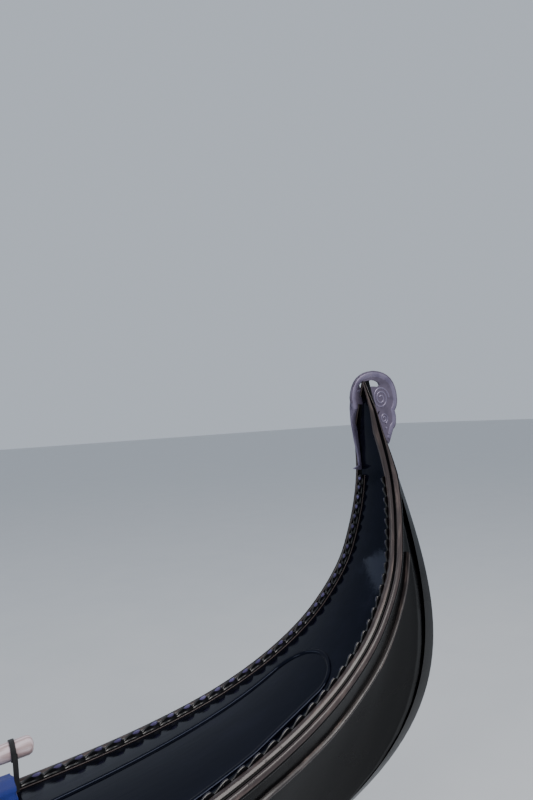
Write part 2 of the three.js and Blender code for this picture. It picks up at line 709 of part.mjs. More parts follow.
function bulkhead(x, facing) {
  const panel = loft([bulkheadRing(x), bulkheadRing(x + facing * BULKHEAD)]);
  const doorway = box(x - 40, x + 40, DOOR.y - DOOR.width / 2, DOOR.y + DOOR.width / 2, DOOR.low, DOOR.high);
  const knuckles = HINGES.flatMap((z) =>
    [-1, 1].map((end) => knuckle(x, facing, z + end * KNUCKLE, KNUCKLE - 2 * GAP, -1)),
  );
  return join(fitInside(panel, doorway), ...knuckles);
}

function lockerDoor(x, facing) {
  const low = DOOR.y - DOOR.width / 2;
  const high = DOOR.y + DOOR.width / 2;
  const front = x + facing * BULKHEAD;
  const [x0, x1] = span(x, front);
  const panel = box(x0, x1, low + DOOR.hingeGap, high - DOOR.farGap, DOOR.low + DOOR.sillGap, DOOR.high - DOOR.sillGap);
  const knob = new THREE.CylinderGeometry(9, 11, 14, 12)
    .rotateZ((-facing * Math.PI) / 2)
    .translate(front + facing * 6, high - 40, (DOOR.low + DOOR.high) / 2);
  return join(panel, knob, ...HINGES.map((z) => knuckle(x, facing, z, KNUCKLE, 1)));
}

add("aft_bulkhead", bulkhead(AFT_DECK_END, 1), LACQUER);
add("aft_locker_door", lockerDoor(AFT_DECK_END, 1), LACQUER);
add("fore_bulkhead", bulkhead(FOREDECK_END, -1), LACQUER);
add("fore_locker_door", lockerDoor(FOREDECK_END, -1), LACQUER);

// Seats. The main seat faces the bow, with two low stools ahead of it.
const SEAT = { y: 70, width: 700, back: -1000, depth: 540, height: 235, cushion: 90 };
const SEAT_TOP = FLOOR_TOP + GAP + SEAT.height;
const [SEAT_LOW, SEAT_HIGH] = [SEAT.y - SEAT.width / 2, SEAT.y + SEAT.width / 2];
add(
  "seat_base",
  cut(
    box(SEAT.back, SEAT.back + SEAT.depth, SEAT_LOW, SEAT_HIGH, FLOOR_TOP + GAP, SEAT_TOP),
    box(SEAT.back + 20, SEAT.back + SEAT.depth - 20, SEAT_LOW + 20, SEAT_HIGH - 20, FLOOR_TOP - 5, SEAT_TOP - 20),
  ),
  LACQUER,
);
add(
  "seat_cushion",
  box(SEAT.back + 4, SEAT.back + SEAT.depth + 12, SEAT_LOW, SEAT_HIGH, SEAT_TOP + GAP, SEAT_TOP + SEAT.cushion),
  UPHOLSTERY,
);

const BACK = { thick: 32, shoulder: 700, crown: 830, pad: 60 };
function seatBackOutline(inset, low) {
  const outline = new THREE.Shape();
  const half = SEAT.width / 2 + 10 - inset;
  outline.moveTo(-half, low);
  outline.lineTo(half, low);
  outline.lineTo(half, BACK.shoulder - inset);
  outline.quadraticCurveTo(half * 0.62, BACK.shoulder - inset, half * 0.5, BACK.shoulder + 60 - inset);
  outline.quadraticCurveTo(half * 0.25, BACK.crown - inset, 0, BACK.crown - inset);
  outline.quadraticCurveTo(-half * 0.25, BACK.crown - inset, -half * 0.5, BACK.shoulder + 60 - inset);
  outline.quadraticCurveTo(-half * 0.62, BACK.shoulder - inset, -half, BACK.shoulder - inset);
  return outline;
}
// An upright plate across the boat, from an outline of y and z.
function crossPlate(outline, x0, x1, y, curveSegments = 5) {
  const geometry = new THREE.ExtrudeGeometry(outline, { depth: x1 - x0, bevelEnabled: false, curveSegments });
  return geometry.rotateX(Math.PI / 2).rotateZ(Math.PI / 2).translate(x0, y, 0);
}
const BACK_FACE = SEAT.back - GAP;
add(
  "seat_back",
  crossPlate(seatBackOutline(0, FLOOR_TOP + GAP), BACK_FACE - BACK.thick, BACK_FACE, SEAT.y),
  LACQUER,
);
add(
  "seat_back_cushion",
  crossPlate(seatBackOutline(40, SEAT_TOP + SEAT.cushion + 6), BACK_FACE + GAP, BACK_FACE + BACK.pad, SEAT.y),
  UPHOLSTERY,
);

const STOOL = { x: 300, length: 380, width: 240, height: 250, leg: 34, board: 26, cushion: 55 };
const STOOLS = [
  { name: "port", y: 330 },
  { name: "starboard", y: -200 },
];
for (const { name, y } of STOOLS) {
  const [x0, x1] = [STOOL.x, STOOL.x + STOOL.length];
  const [y0, y1] = [y - STOOL.width / 2, y + STOOL.width / 2];
  const top = FLOOR_TOP + GAP + STOOL.height;
  const legs = [x0 + 8, x1 - 8 - STOOL.leg].flatMap((x) =>
    [y0 + 8, y1 - 8 - STOOL.leg].map((yLeg) =>
      box(x, x + STOOL.leg, yLeg, yLeg + STOOL.leg, FLOOR_TOP + GAP, top - STOOL.board / 2),
    ),
  );
  add("stool_" + name, join(box(x0, x1, y0, y1, top - STOOL.board, top), ...legs), LACQUER);
  add("stool_cushion_" + name, box(x0 + 5, x1 - 5, y0 + 5, y1 - 5, top + GAP, top + STOOL.cushion), UPHOLSTERY);
}

// Thwarts, cross boards at the two ends of the cockpit, level with the decks.
function thwart(x0, x1) {
  const ring = (x) => {
    const t = rowAt(x, 1);
    const z = at.sz(t) - 1;
    const edge = (side) => side.sign * (innerBreadth(x, z, side) + SUNK);
    const low = (side) => side.sign * (innerBreadth(x, z - 34, side) + SUNK);
    return [
      new THREE.Vector3(x, edge(STARBOARD), z),
      new THREE.Vector3(x, edge(PORT), z),
      new THREE.Vector3(x, low(PORT), z - 34),
      new THREE.Vector3(x, low(STARBOARD), z - 34),
    ];
  };
  return fitInside(loft([ring(x0), ring(x1)]));
}
add("aft_thwart", thwart(AFT_DECK_END + 20, AFT_DECK_END + 150), LACQUER);
add("fore_thwart", thwart(FOREDECK_END - 150, FOREDECK_END - 20), LACQUER);

// Stern iron: a flat plate in the centre plane over the head of the sternpost, and its strip.
const IRON_HALF = 4;
const IRON_SUNK = 3; // how far a raw outline reaches into the wood before it is trimmed

const offsetPoint = (curve, v, distance) => {
  const point = curve.getPoint(v);
  const along = curve.getTangent(v);
  return point.add(new THREE.Vector2(-along.y, along.x).multiplyScalar(distance));
};

// The strip that runs down from the stern iron along the leaf's starboard edge.
// t: place in the hull table. inset: from the planks' edge. deep: how far it stands up off the deck.
const STRIP = [
  { t: 0.94, inset: 24, deep: 12 },
  { t: 0.915, inset: 24, deep: 40 },
  { t: 0.885, inset: 23, deep: 12 },
  { t: 0.75, inset: 20, deep: 14 },
  { t: 0.6, inset: 17, deep: 20 },
  { t: 0.4, inset: 16, deep: 25 },
  { t: 0.25, inset: 19, deep: 26 },
  { t: 0.15, inset: 32, deep: 30 },
  { t: 0.08, inset: 46, deep: 34 },
];
function ironStrip() {
  return loft(
    STRIP.map(({ t, inset, deep }) => {
      const { out, up } = edgeFrame(t, STARBOARD);
      const p = (o, u) => sheer(t, STARBOARD).addScaledVector(out, o - inset).addScaledVector(up, u);
      return [p(-IRON_HALF, -IRON_SUNK), p(IRON_HALF, -IRON_SUNK), p(IRON_HALF, deep), p(-IRON_HALF, deep)];
    }),
  );
}

function sternIron() {
  const outline = new THREE.Shape();
  outline.moveTo(-5136, 1900);
  outline.lineTo(-5083, 1906);
  outline.lineTo(-5079, 1925);
  outline.quadraticCurveTo(-5092, 2012, -5190, 2017);
  outline.quadraticCurveTo(-5303, 2014, -5303, 1913);
  outline.quadraticCurveTo(-5302, 1888, -5289, 1868);
  outline.quadraticCurveTo(-5298, 1850, -5290, 1838);
  outline.quadraticCurveTo(-5286, 1820, -5276, 1811);
  outline.quadraticCurveTo(-5262, 1788, -5248, 1756);
  for (const v of [0.89, 0.92, 0.95, 0.98, 1]) {
    const p = offsetPoint(STERN.edge, v, -IRON_SUNK);
    outline.lineTo(p.x, p.y);
  }
  outline.lineTo(-5116, 1983);
  for (const t of [0.1, 0.2]) {
    outline.lineTo(at.sx(t) - IRON_SUNK, at.sz(t));
  }
  const hole = new THREE.Path();
  hole.moveTo(-5163, 1990);
  hole.quadraticCurveTo(-5205, 1992, -5226, 1966);
  hole.quadraticCurveTo(-5195, 1966, -5170, 1994);
  outline.holes.push(hole);
  const raw = join(plate(outline, -IRON_HALF, IRON_HALF, 5), ironStrip());
  return fitInside(raw, ...POSTS, aftDeck(GAP), cut(cap(STARBOARD), box(-FAR, FAR, 0, FAR, -FAR, FAR)));
}
add("stern_iron", sternIron(), IRON);

// Bow iron: a plate down the front of the stem, with six teeth ahead, one behind, and a curved head.
const TEETH = { count: 6, low: 1095, pitch: 58, height: 32, root: 5222, tip: 5330 };
function bowIron() {
  const outline = new THREE.Shape();
  const start = BOW.edge.getPoint(0.03);
  outline.moveTo(start.x + 4, start.y - 26);
  for (const v of [0.1, 0.2, 0.3, 0.4, 0.5, 0.58]) {
    const p = offsetPoint(BOW.edge, v, -26);
    outline.lineTo(p.x, p.y);
  }
  for (let i = 0; i < TEETH.count; i++) {
    const z = TEETH.low + i * TEETH.pitch;
    outline.lineTo(TEETH.root, z);
    outline.lineTo(TEETH.tip, z + 3);
    outline.lineTo(TEETH.tip + 8, z + TEETH.height / 2);
    outline.lineTo(TEETH.tip, z + TEETH.height - 3);
    outline.lineTo(TEETH.root, z + TEETH.height);
  }
  outline.quadraticCurveTo(5240, 1470, 5425, 1462);
  outline.quadraticCurveTo(5420, 1700, 5190, 1800);
  outline.quadraticCurveTo(5100, 1815, 5072, 1770);
  outline.quadraticCurveTo(5130, 1690, 5075, 1600);
  outline.quadraticCurveTo(5050, 1570, 5048, 1548);
  outline.lineTo(4935, 1545);
  outline.lineTo(4928, 1530);
  outline.lineTo(4935, 1515);
  outline.lineTo(5040, 1512);
  outline.lineTo(5030, 1478);
  outline.lineTo(5036, 1459);
  for (const v of [1, 0.94, 0.88, 0.82, 0.76, 0.7, 0.62, 0.54, 0.46, 0.38, 0.3, 0.22, 0.14, 0.06, 0.03]) {
    const p = offsetPoint(BOW.edge, v, IRON_SUNK);
    outline.lineTo(p.x, p.y + (v === 1 ? 3 : 0));
  }
  return fitInside(plate(outline, -IRON_HALF, IRON_HALF, 5), ...POSTS);
}
add("bow_iron", bowIron(), IRON);

// A tapering round bar between stations of length and radius, centred on a straight line.
function roundBar(start, direction, stationsAlong, sides = 16) {
  const along = direction.clone().normalize();
  const across = new THREE.Vector3(0, 0, 1).cross(along).normalize();
  const up = along.clone().cross(across);
  return loft(
    stationsAlong.map(({ at: distance, wide, tall }) =>
      Array.from({ length: sides }, (_, i) => {
        const angle = (2 * Math.PI * i) / sides;
        return start
          .clone()
          .addScaledVector(along, distance)
          .addScaledVector(across, (wide / 2) * Math.cos(angle))
          .addScaledVector(up, (tall / 2) * Math.sin(angle));
      }),
    ),
  );
}

// The oar, stowed along the starboard side: its handle over the folded cover, its blade on the gunwale.
const OAR = { start: [-4035, -240, 1000], end: [130, -555, 674.2] };
const OAR_START = new THREE.Vector3(...OAR.start);
const OAR_LINE = new THREE.Vector3(...OAR.end).sub(OAR_START);
const OAR_STATIONS = [
  { at: 0, wide: 22, tall: 22 },
  { at: 5, wide: 42, tall: 42 },
  { at: 14, wide: 52, tall: 52 },
  { at: 120, wide: 50, tall: 50 },
  { at: 1600, wide: 50, tall: 50 },
  { at: 2500, wide: 50, tall: 48 },
  { at: 2900, wide: 70, tall: 34 },
  { at: 3400, wide: 120, tall: 22 },
  { at: 4000, wide: 150, tall: 14 },
  { at: 4180, wide: 140, tall: 10 },
];
const oarBar = (grow = 0) =>
  roundBar(
    OAR_START,
    OAR_LINE,
    OAR_STATIONS.map((row) => ({ at: row.at, wide: row.wide + 2 * grow, tall: row.tall + 2 * grow })),
  );
add("oar", oarBar(), OARWOOD);
const oarAt = (x) => {
  const share = (x - OAR.start[0]) / (OAR.end[0] - OAR.start[0]);
  return OAR_START.clone().addScaledVector(OAR_LINE, share);
};

// Folded cover on the aft deck, between the deck's bead and the starboard gunwale, under the oar's handle.
const COVER = { from: -3965, to: -2480, inner: -96, steps: 6, round: 18, pressed: 5 };
function cover() {
  const rings = [];
  for (let i = 0; i <= COVER.steps; i++) {
    const x = COVER.from + ((COVER.to - COVER.from) * i) / COVER.steps;
    const outer = -(at.ss(rowAt(x, 1)) - 36 - 8);
    const floor = (y) => deckHeight(x, y) - 4;
    const top = oarAt(x).z - 25 + COVER.pressed;
    const swell = (top - floor(COVER.inner)) * 0.3;
    const p = (y, z) => new THREE.Vector3(x, y, z);
    rings.push([
      p(COVER.inner - 6, floor(COVER.inner)),
      p(COVER.inner, floor(COVER.inner) + swell),
      p(COVER.inner - 4, top - COVER.round),
      p(COVER.inner - 20, top - 4),
      p((COVER.inner + outer) / 2, top),
      p(outer + 20, top - 4),
      p(outer + 4, top - COVER.round),
      p(outer, floor(outer) + swell + 24),
      p(outer + 6, floor(outer) + 24),
      p(outer + 14, floor(outer)),
    ]);
  }
  return cut(loft(rings), aftDeck(GAP), oarBar(GAP));
}
add("cover", cover(), CANVAS);

// Strap round the oar's handle, made fast on the deck beside the cover.
const STRAP = { x: -3986, width: 14, thick: 4 };
function strap() {
  const centre = oarAt(STRAP.x);
  const outer = 52 + 2 * STRAP.thick;
  const along = OAR_LINE.clone().normalize();
  const loop = roundBar(centre, along, [
    { at: 0, wide: outer, tall: outer },
    { at: STRAP.width, wide: outer, tall: outer },
  ]);
  const footY = -(at.ss(rowAt(STRAP.x, 1)) - 36 - 12);
  const ring = (y, z, half) => [
    new THREE.Vector3(STRAP.x, y - half, z),
    new THREE.Vector3(STRAP.x, y + half, z),
    new THREE.Vector3(STRAP.x + STRAP.width, y + half, z),
    new THREE.Vector3(STRAP.x + STRAP.width, y - half, z),
  ];
  const foot = deckHeight(STRAP.x, footY);
  const tail = loft([
    ring(footY, foot - 4, 4),
    ring(footY, foot + 8, STRAP.thick / 2),
    ring(centre.y + outer / 2 - 2, centre.z, STRAP.thick / 2),
  ]);
  return cut(join(loop, tail), oarBar(GAP), aftDeck(GAP));
}
add("strap", strap(), WEBBING);

// Oarlock: a carved fork that lifts out of its block on the starboard side.
const LOCK = { x: -2080, socket: 34, tenon: 30, block: 54, length: 110, blockHeight: 60, height: 330, thick: 44 };
const LOCK_Y = -(at.ss(rowAt(LOCK.x - LOCK.length / 2, 1)) - 36 - 3 - LOCK.block / 2);
const LOCK_DECK = deckHeight(LOCK.x, LOCK_Y);
const LOCK_TOP = LOCK_DECK + LOCK.blockHeight;
function oarlockBlock() {
  const half = LOCK.block / 2;
  const raw = box(
    LOCK.x - LOCK.length / 2,
    LOCK.x + LOCK.length / 2,
    LOCK_Y - half,
    LOCK_Y + half,
    LOCK_DECK - 6,
    LOCK_TOP,
  );
  const side = LOCK.socket / 2;
  const socket = box(LOCK.x - side, LOCK.x + side, LOCK_Y - side, LOCK_Y + side, LOCK_TOP - 42, LOCK_TOP + 10);
  return cut(raw, socket, aftDeck(GAP));
}
add("oarlock_block", oarlockBlock(), LACQUER);

function oarlock() {
  const base = LOCK_TOP + GAP;
  const outline = new THREE.Shape();
  outline.moveTo(LOCK.x - 52, base);
  outline.lineTo(LOCK.x + 50, base);
  outline.bezierCurveTo(LOCK.x + 40, base + 70, LOCK.x + 12, base + 90, LOCK.x + 30, base + 140);
  outline.quadraticCurveTo(LOCK.x + 70, base + 150, LOCK.x + 82, base + 190);
  outline.quadraticCurveTo(LOCK.x + 66, base + 196, LOCK.x + 52, base + 176);
  outline.quadraticCurveTo(LOCK.x + 22, base + 166, LOCK.x + 8, base + 200);
  outline.quadraticCurveTo(LOCK.x + 2, base + 250, LOCK.x + 46, base + 268);
  outline.quadraticCurveTo(LOCK.x + 60, base + 300, LOCK.x + 30, base + LOCK.height);
  outline.quadraticCurveTo(LOCK.x - 46, base + 300, LOCK.x - 50, base + 220);
  outline.bezierCurveTo(LOCK.x - 46, base + 130, LOCK.x - 70, base + 90, LOCK.x - 52, base);
  const fork = plate(outline, LOCK_Y - LOCK.thick / 2, LOCK_Y + LOCK.thick / 2, 7);
  const side = LOCK.tenon / 2;
  const tenon = box(LOCK.x - side, LOCK.x + side, LOCK_Y - side, LOCK_Y + side, LOCK_TOP - 38, base + 10);
  return join(fork, tenon);
}
add("oarlock", oarlock(), TIMBER);

// Sloping board where the rower stands, on the port side of the aft deck.
const FOOTBOARD = { from: -2920, to: -2420, y0: 205, y1: 400, low: 22, high: 70 };
function footboard() {
  const ring = (x, lift) => {
    const p = (y, up) => new THREE.Vector3(x, y, deckHeight(x, y) + up);
    return [
      p(FOOTBOARD.y0, -12),
      p(FOOTBOARD.y1, -12),
      p(FOOTBOARD.y1, lift + 14),
      p(FOOTBOARD.y0, lift),
    ];
  };
  return cut(loft([ring(FOOTBOARD.from, FOOTBOARD.low), ring(FOOTBOARD.to, FOOTBOARD.high)]), aftDeck(GAP));
}
add("footboard", footboard(), TIMBER);

export default gondola;
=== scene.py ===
import logging
import math
from dataclasses import dataclass, field
from enum import Enum
from itertools import product

import bmesh
import bpy
from bmesh.types import BMesh, BMVert
from bpy.types import Material, Mesh, NodeSocket, Object
from mathutils import Matrix, Vector, noise
from mathutils.bvhtree import BVHTree


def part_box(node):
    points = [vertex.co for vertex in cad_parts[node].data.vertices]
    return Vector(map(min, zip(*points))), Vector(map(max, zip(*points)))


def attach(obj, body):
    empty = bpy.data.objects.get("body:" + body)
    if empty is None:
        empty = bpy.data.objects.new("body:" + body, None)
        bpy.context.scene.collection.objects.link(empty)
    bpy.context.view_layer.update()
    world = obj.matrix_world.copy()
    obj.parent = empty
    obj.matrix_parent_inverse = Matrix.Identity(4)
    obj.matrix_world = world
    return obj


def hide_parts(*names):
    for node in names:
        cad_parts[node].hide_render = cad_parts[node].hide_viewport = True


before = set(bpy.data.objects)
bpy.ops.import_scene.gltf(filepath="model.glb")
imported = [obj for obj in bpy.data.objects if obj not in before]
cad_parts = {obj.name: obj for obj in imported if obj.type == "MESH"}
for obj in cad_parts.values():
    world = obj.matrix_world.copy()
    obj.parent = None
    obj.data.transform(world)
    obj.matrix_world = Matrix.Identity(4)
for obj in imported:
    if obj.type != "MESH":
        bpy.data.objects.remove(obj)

logging.basicConfig(level=logging.INFO, format="%(message)s")
LOG = logging.getLogger("gondola")
WATERLINE = 0.2
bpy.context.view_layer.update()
UP, DOWN = Vector((0, 0, 1)), Vector((0, 0, -1))
Colour = tuple[int, int, int]
Triple = tuple[float, float, float]
Pairs = tuple[tuple[float, float], ...]


# Shader graphs


def srgb(red: int, green: int, blue: int) -> tuple[float, float, float, float]:
    """A colour in linear light.

    Args:
        red, green, blue: the colour as a screen shows it, 0 to 255.

    Returns:
        The four numbers that a colour socket takes.
    """
    line = [c / 255 for c in (red, green, blue)]
    flat = [c / 12.92 if c <= 0.04045 else ((c + 0.055) / 1.055) ** 2.4 for c in line]
    return (flat[0], flat[1], flat[2], 1.0)


class Wire:
    """A shader socket that takes part in plain arithmetic."""

    def __init__(self, graph: "Graph", socket: NodeSocket) -> None:
        """Holds one socket of a graph."""
        self.graph = graph
        self.socket = socket

    def __add__(self, other: "Wire | float") -> "Wire":
        """The sum of two values."""
        return self.graph.maths("ADD", self, other)

    __radd__ = __add__

    def __sub__(self, other: "Wire | float") -> "Wire":
        """This value less another."""
        return self.graph.maths("SUBTRACT", self, other)

    def __rsub__(self, other: float) -> "Wire":
        """A number less this value."""
        return self.graph.maths("SUBTRACT", other, self)

    def __mul__(self, other: "Wire | float") -> "Wire":
        """The product of two values."""
        return self.graph.maths("MULTIPLY", self, other)

    __rmul__ = __mul__

    def clipped(self) -> "Wire":
        """This value, kept between 0 and 1."""
        return self.graph.maths("MINIMUM", self.graph.maths("MAXIMUM", self, 0.0), 1.0)

    def step(self, low: float, high: float) -> "Wire":
        """A smooth rise from 0 at low to 1 at high.

        Args:
            low: the value where the rise starts.
            high: the value where it ends.

        Returns:
            The share between 0 and 1.
        """
        return self.graph.node(
            "ShaderNodeMapRange",
            {"interpolation_type": "SMOOTHSTEP"},
            {"Value": self, "From Min": low, "From Max": high},
        )


class Graph:
    """The node tree of one material."""

    def __init__(self, name: str) -> None:
        """Starts an empty material of that name."""
        self.material = bpy.data.materials.new(name)
        self.material.use_nodes = True
        self.tree = self.material.node_tree
        self.tree.nodes.clear()

    def node(
        self, kind: str, settings: dict[str, object], values: dict[str, object], out: str | int = 0
    ) -> Wire:
        """Adds one node.

        Args:
            kind: the node's type.
            settings: its own settings, set before its sockets.
            values: numbers, colours or wires for its input sockets.
            out: which output is wanted.

        Returns:
            That output as a wire.
        """
        made = self.tree.nodes.new(kind)
        for key, value in settings.items():
            setattr(made, key, value)
        for key, value in values.items():
            socket = made.inputs[key]
            if isinstance(value, Wire):
                self.tree.links.new(value.socket, socket)
            else:
                socket.default_value = value
        return Wire(self, made.outputs[out])

    def maths(self, operation: str, a: "Wire | float", b: "Wire | float" = 0.0) -> Wire:
        """Adds a Math node for one sum."""
        return self.node("ShaderNodeMath", {"operation": operation}, {0: a, 1: b})

    def blend(self, share: "Wire | float", a: object, b: object) -> Wire:
        """A colour between a and b.

        Args:
            share: 0 for a, 1 for b.
            a: a colour or a wire.
            b: a colour or a wire.

        Returns:
            The mixed colour.
        """
        return self.node("ShaderNodeMix", {"data_type": "RGBA"}, {0: share, 6: a, 7: b}, 2)

    def own(self) -> Wire:
        """The object's own coordinates in metres."""
        return self.node("ShaderNodeTexCoord", {}, {}, "Object")

    def mapped(self, spot: Wire, **values: Triple) -> Wire:
        """Coordinates stretched or turned by a Mapping node."""
        return self.node("ShaderNodeMapping", {"vector_type": "POINT"}, {"Vector": spot, **values})

    def place(self, scale: Triple = (1, 1, 1)) -> Wire:
        """Object coordinates, stretched along each axis."""
        return self.mapped(self.own(), Scale=scale)

    def unrolled(self, scale: Triple) -> Wire:
        """The piece's own UV map in metres, stretched."""
        return self.mapped(self.node("ShaderNodeUVMap", {"uv_map": "UVMap"}, {}), Scale=scale)

    def axis(self, name: str) -> Wire:
        """One of the object's own coordinates, X, Y or Z."""
        return self.node("ShaderNodeSeparateXYZ", {}, {"Vector": self.own()}, name)

    def cloud(
        self, scale: float, detail: float = 4.0, at: Wire | None = None, rough: float = 0.5
    ) -> Wire:
        """Noise from 0 to 1 at so many lumps a metre."""
        values = {"Vector": at or self.place(), "Scale": scale, "Detail": detail, "Roughness": rough}
        return self.node("ShaderNodeTexNoise", {}, values, "Fac")

    def waves(self, direction: str, at: Wire, scale: float, **values: float) -> Wire:
        """Even bands across one axis, from 0 to 1.

        Args:
            direction: the axis.
            at: the coordinates.
            scale: how close the bands lie.
            values: the wave's other sockets by name, with a low line for each space.

        Returns:
            The height of the bands.
        """
        sockets = {key.replace("_", " "): value for key, value in values.items()}
        settings = {"wave_type": "BANDS", "bands_direction": direction}
        values = {"Vector": at, "Scale": scale, **sockets}
        return self.node("ShaderNodeTexWave", settings, values, "Fac")

    def bump(self, height: Wire, depth: float, over: Wire | None = None) -> Wire:
        """A bump of so many metres, on top of another bump if there is one."""
        values: dict[str, object] = {"Height": height, "Distance": depth, "Strength": 1.0}
        if over is not None:
            values["Normal"] = over
        return self.node("ShaderNodeBump", {}, values, "Normal")

    def close(self, **values: object) -> Material:
        """Ends the tree in a Principled shader.

        Args:
            values: its sockets by name, with a low line for each space.

        Returns:
            The material.
        """
        sockets = {key.replace("_", " "): value for key, value in values.items()}
        shader = self.node("ShaderNodeBsdfPrincipled", {}, sockets)
        output = self.tree.nodes.new("ShaderNodeOutputMaterial")
        self.tree.links.new(shader.socket, output.inputs["Surface"])
        return self.material


# Finishes


@dataclass(frozen=True)
class Lacquer:
    """Boat lacquer over smooth wood, with dust and faint brush marks; black, except on the carved
    facets, whose two colours are painted highlight.
    """

    name: str = "lacquer"
    base: Colour = (13, 15, 22)
    haze: Colour = (27, 30, 40)
    roughness: float = 0.14
    seams: bool = False
    gloss: float = 0.16

    def make(self) -> Material:
        """Builds the material."""
        g = Graph(self.name)
        streak = g.cloud(9, 6, g.place((0.35, 2.2, 2.2)))
        dust = g.cloud(3.2, 5)
        mask = (streak * 0.6 + dust * 0.4).step(0.42, 0.72)
        colour = g.blend(mask, srgb(*self.base), srgb(*self.haze))
        height = g.cloud(38, 3, g.place((0.12, 1.6, 1.6))) * 0.5
        if self.seams:
            wave = g.waves("Z", g.place(), 2.4, Distortion=0.0)
            height = height - (1 - wave.step(0.0, 0.012)) * 1.2
        normal = g.bump(height, 0.0007)
        rough = self.roughness + streak.step(0.45, 0.8) * 0.16 + dust.step(0.5, 0.8) * 0.08
        return g.close(
            Base_Color=colour,
            Roughness=rough,
            Normal=normal,
            Coat_Weight=0.03,
            Coat_Roughness=0.06,
            Specular_IOR_Level=self.gloss,
            Specular_Tint=(0.55, 0.66, 1.0, 1.0),
        )


@dataclass(frozen=True)
class HullPaint:
    """Black hull paint with grime and a pale scum line near the water."""

    name: str = "hull_paint"
    base: Colour = (2, 2, 3)
    grime: Colour = (7, 6, 7)
    scum: Colour = (62, 60, 50)

    def make(self) -> Material:
        """Builds the material."""
        g = Graph(self.name)
        height = g.axis("Z")
        smear = g.cloud(7, 6, g.place((0.3, 1.5, 1.5)))
        fine = g.cloud(60, 4)
        grime = (smear.step(0.45, 0.75) * 0.6 + fine.step(0.5, 0.8) * 0.25).clipped()
        colour = g.blend(grime, srgb(*self.base), srgb(*self.grime))
        wander = height + smear * 0.03
        below = wander.step(WATERLINE - 0.05, WATERLINE + 0.01)
        band = below * (1 - wander.step(WATERLINE + 0.03, WATERLINE + 0.07))
        colour = g.blend(band * (0.35 + fine * 0.4), colour, srgb(*self.scum))
        normal = g.bump(smear * 0.4 + fine * 0.12, 0.0008)
        return g.close(
            Base_Color=colour,
            Roughness=0.2 + grime * 0.2 + band * 0.2,
            Normal=normal,
            Specular_IOR_Level=0.06,
        )


@dataclass(frozen=True)
class WornMoulding:
    """Dark painted moulding, dulled and rubbed brown along its length."""

    name: str = "worn_moulding"
    paint: Colour = (50, 39, 38)
    wood: Colour = (84, 68, 64)
    pale: Colour = (104, 88, 82)
    wear: float = 0.55

    def make(self) -> Material:
        """Builds the material."""
        g = Graph(self.name)
        long = g.cloud(3, 6, g.unrolled((1.0, 14, 1)), 0.6)
        fine = g.cloud(60, 5, g.unrolled((0.3, 2, 1)))
        chips = g.cloud(26, 4, g.unrolled((0.8, 2.5, 1)), 0.7).step(0.62, 0.68)
        rubbed = (long * 0.7 + fine * 0.3).step(0.66 - self.wear * 0.36, 0.84 - self.wear * 0.3)
        wood = g.blend(fine.step(0.4, 0.7), srgb(*self.wood), srgb(*self.pale))
        colour = g.blend(rubbed, srgb(*self.paint), wood)
        colour = g.blend(chips * 0.6, colour, srgb(34, 28, 28))
        normal = g.bump(fine * 0.5 - chips * 0.8, 0.0007)
        return g.close(
            Base_Color=colour,
            Roughness=0.34 + rubbed * 0.22 + chips * 0.1,
            Normal=normal,
            Coat_Weight=0.12,
        )


@dataclass(frozen=True)
class IronPlate:
    """Satin iron plate, brushed and faintly spotted."""

    name: str = "forged_iron"
    steel: Colour = (98, 89, 108)
    dull: Colour = (80, 72, 90)
    roughness: float = 0.42
    metal: float = 0.35

    def make(self) -> Material:
        """Builds the material."""
        g = Graph(self.name)
        brush = g.cloud(90, 4, g.place((1, 1, 0.12)))
        spots = g.cloud(22, 6)
        mask = spots.step(0.48, 0.68)
        colour = g.blend(mask, srgb(*self.steel), srgb(*self.dull))
        rust = g.cloud(48, 5, rough=0.7).step(0.66, 0.76)
        colour = g.blend(rust * 0.45, colour, srgb(96, 70, 56))
        return g.close(
            Base_Color=colour,
            Metallic=self.metal - rust * self.metal * 0.6,
            Roughness=self.roughness + mask * 0.12 + rust * 0.25,
            Normal=g.bump(brush * 0.5 + spots * 0.5, 0.0004),
        )


@dataclass(frozen=True)
class Wood:
    """Sawn or turned wood with its grain along the boat."""

    name: str = "sawn_timber"
    light: Colour = (150, 112, 72)
    dark: Colour = (92, 62, 38)
    roughness: float = 0.5
    grain: Triple = (0.35, 6, 6)
    boards: float = 0.0

    def make(self) -> Material:
        """Builds the material."""
        g = Graph(self.name)
        spot = g.place(self.grain)
        rings = g.waves("Y", spot, 3.0, Distortion=5.0, Detail=3.0, Detail_Scale=1.4)
        pores = g.cloud(60, 5, spot)
        tone = g.cloud(2.0, 3)
        mask = (rings * 0.55 + pores * 0.45).step(0.3, 0.8)
        colour = g.blend(mask, srgb(*self.light), srgb(*self.dark))
        colour = g.blend(tone.step(0.4, 0.7) * 0.35, colour, srgb(*self.dark))
        height = pores * 0.5 + rings * 0.3
        if self.boards:
            across = g.maths("PINGPONG", g.axis("Y") + 10.0, self.boards / 2)
            seam = 1 - across.step(0.0, 0.0025)
            colour = g.blend(seam * 0.9, colour, srgb(20, 15, 12))
            height = height - seam * 2.5
        return g.close(
            Base_Color=colour, Roughness=self.roughness + pores * 0.15, Normal=g.bump(height, 0.0012)
        )


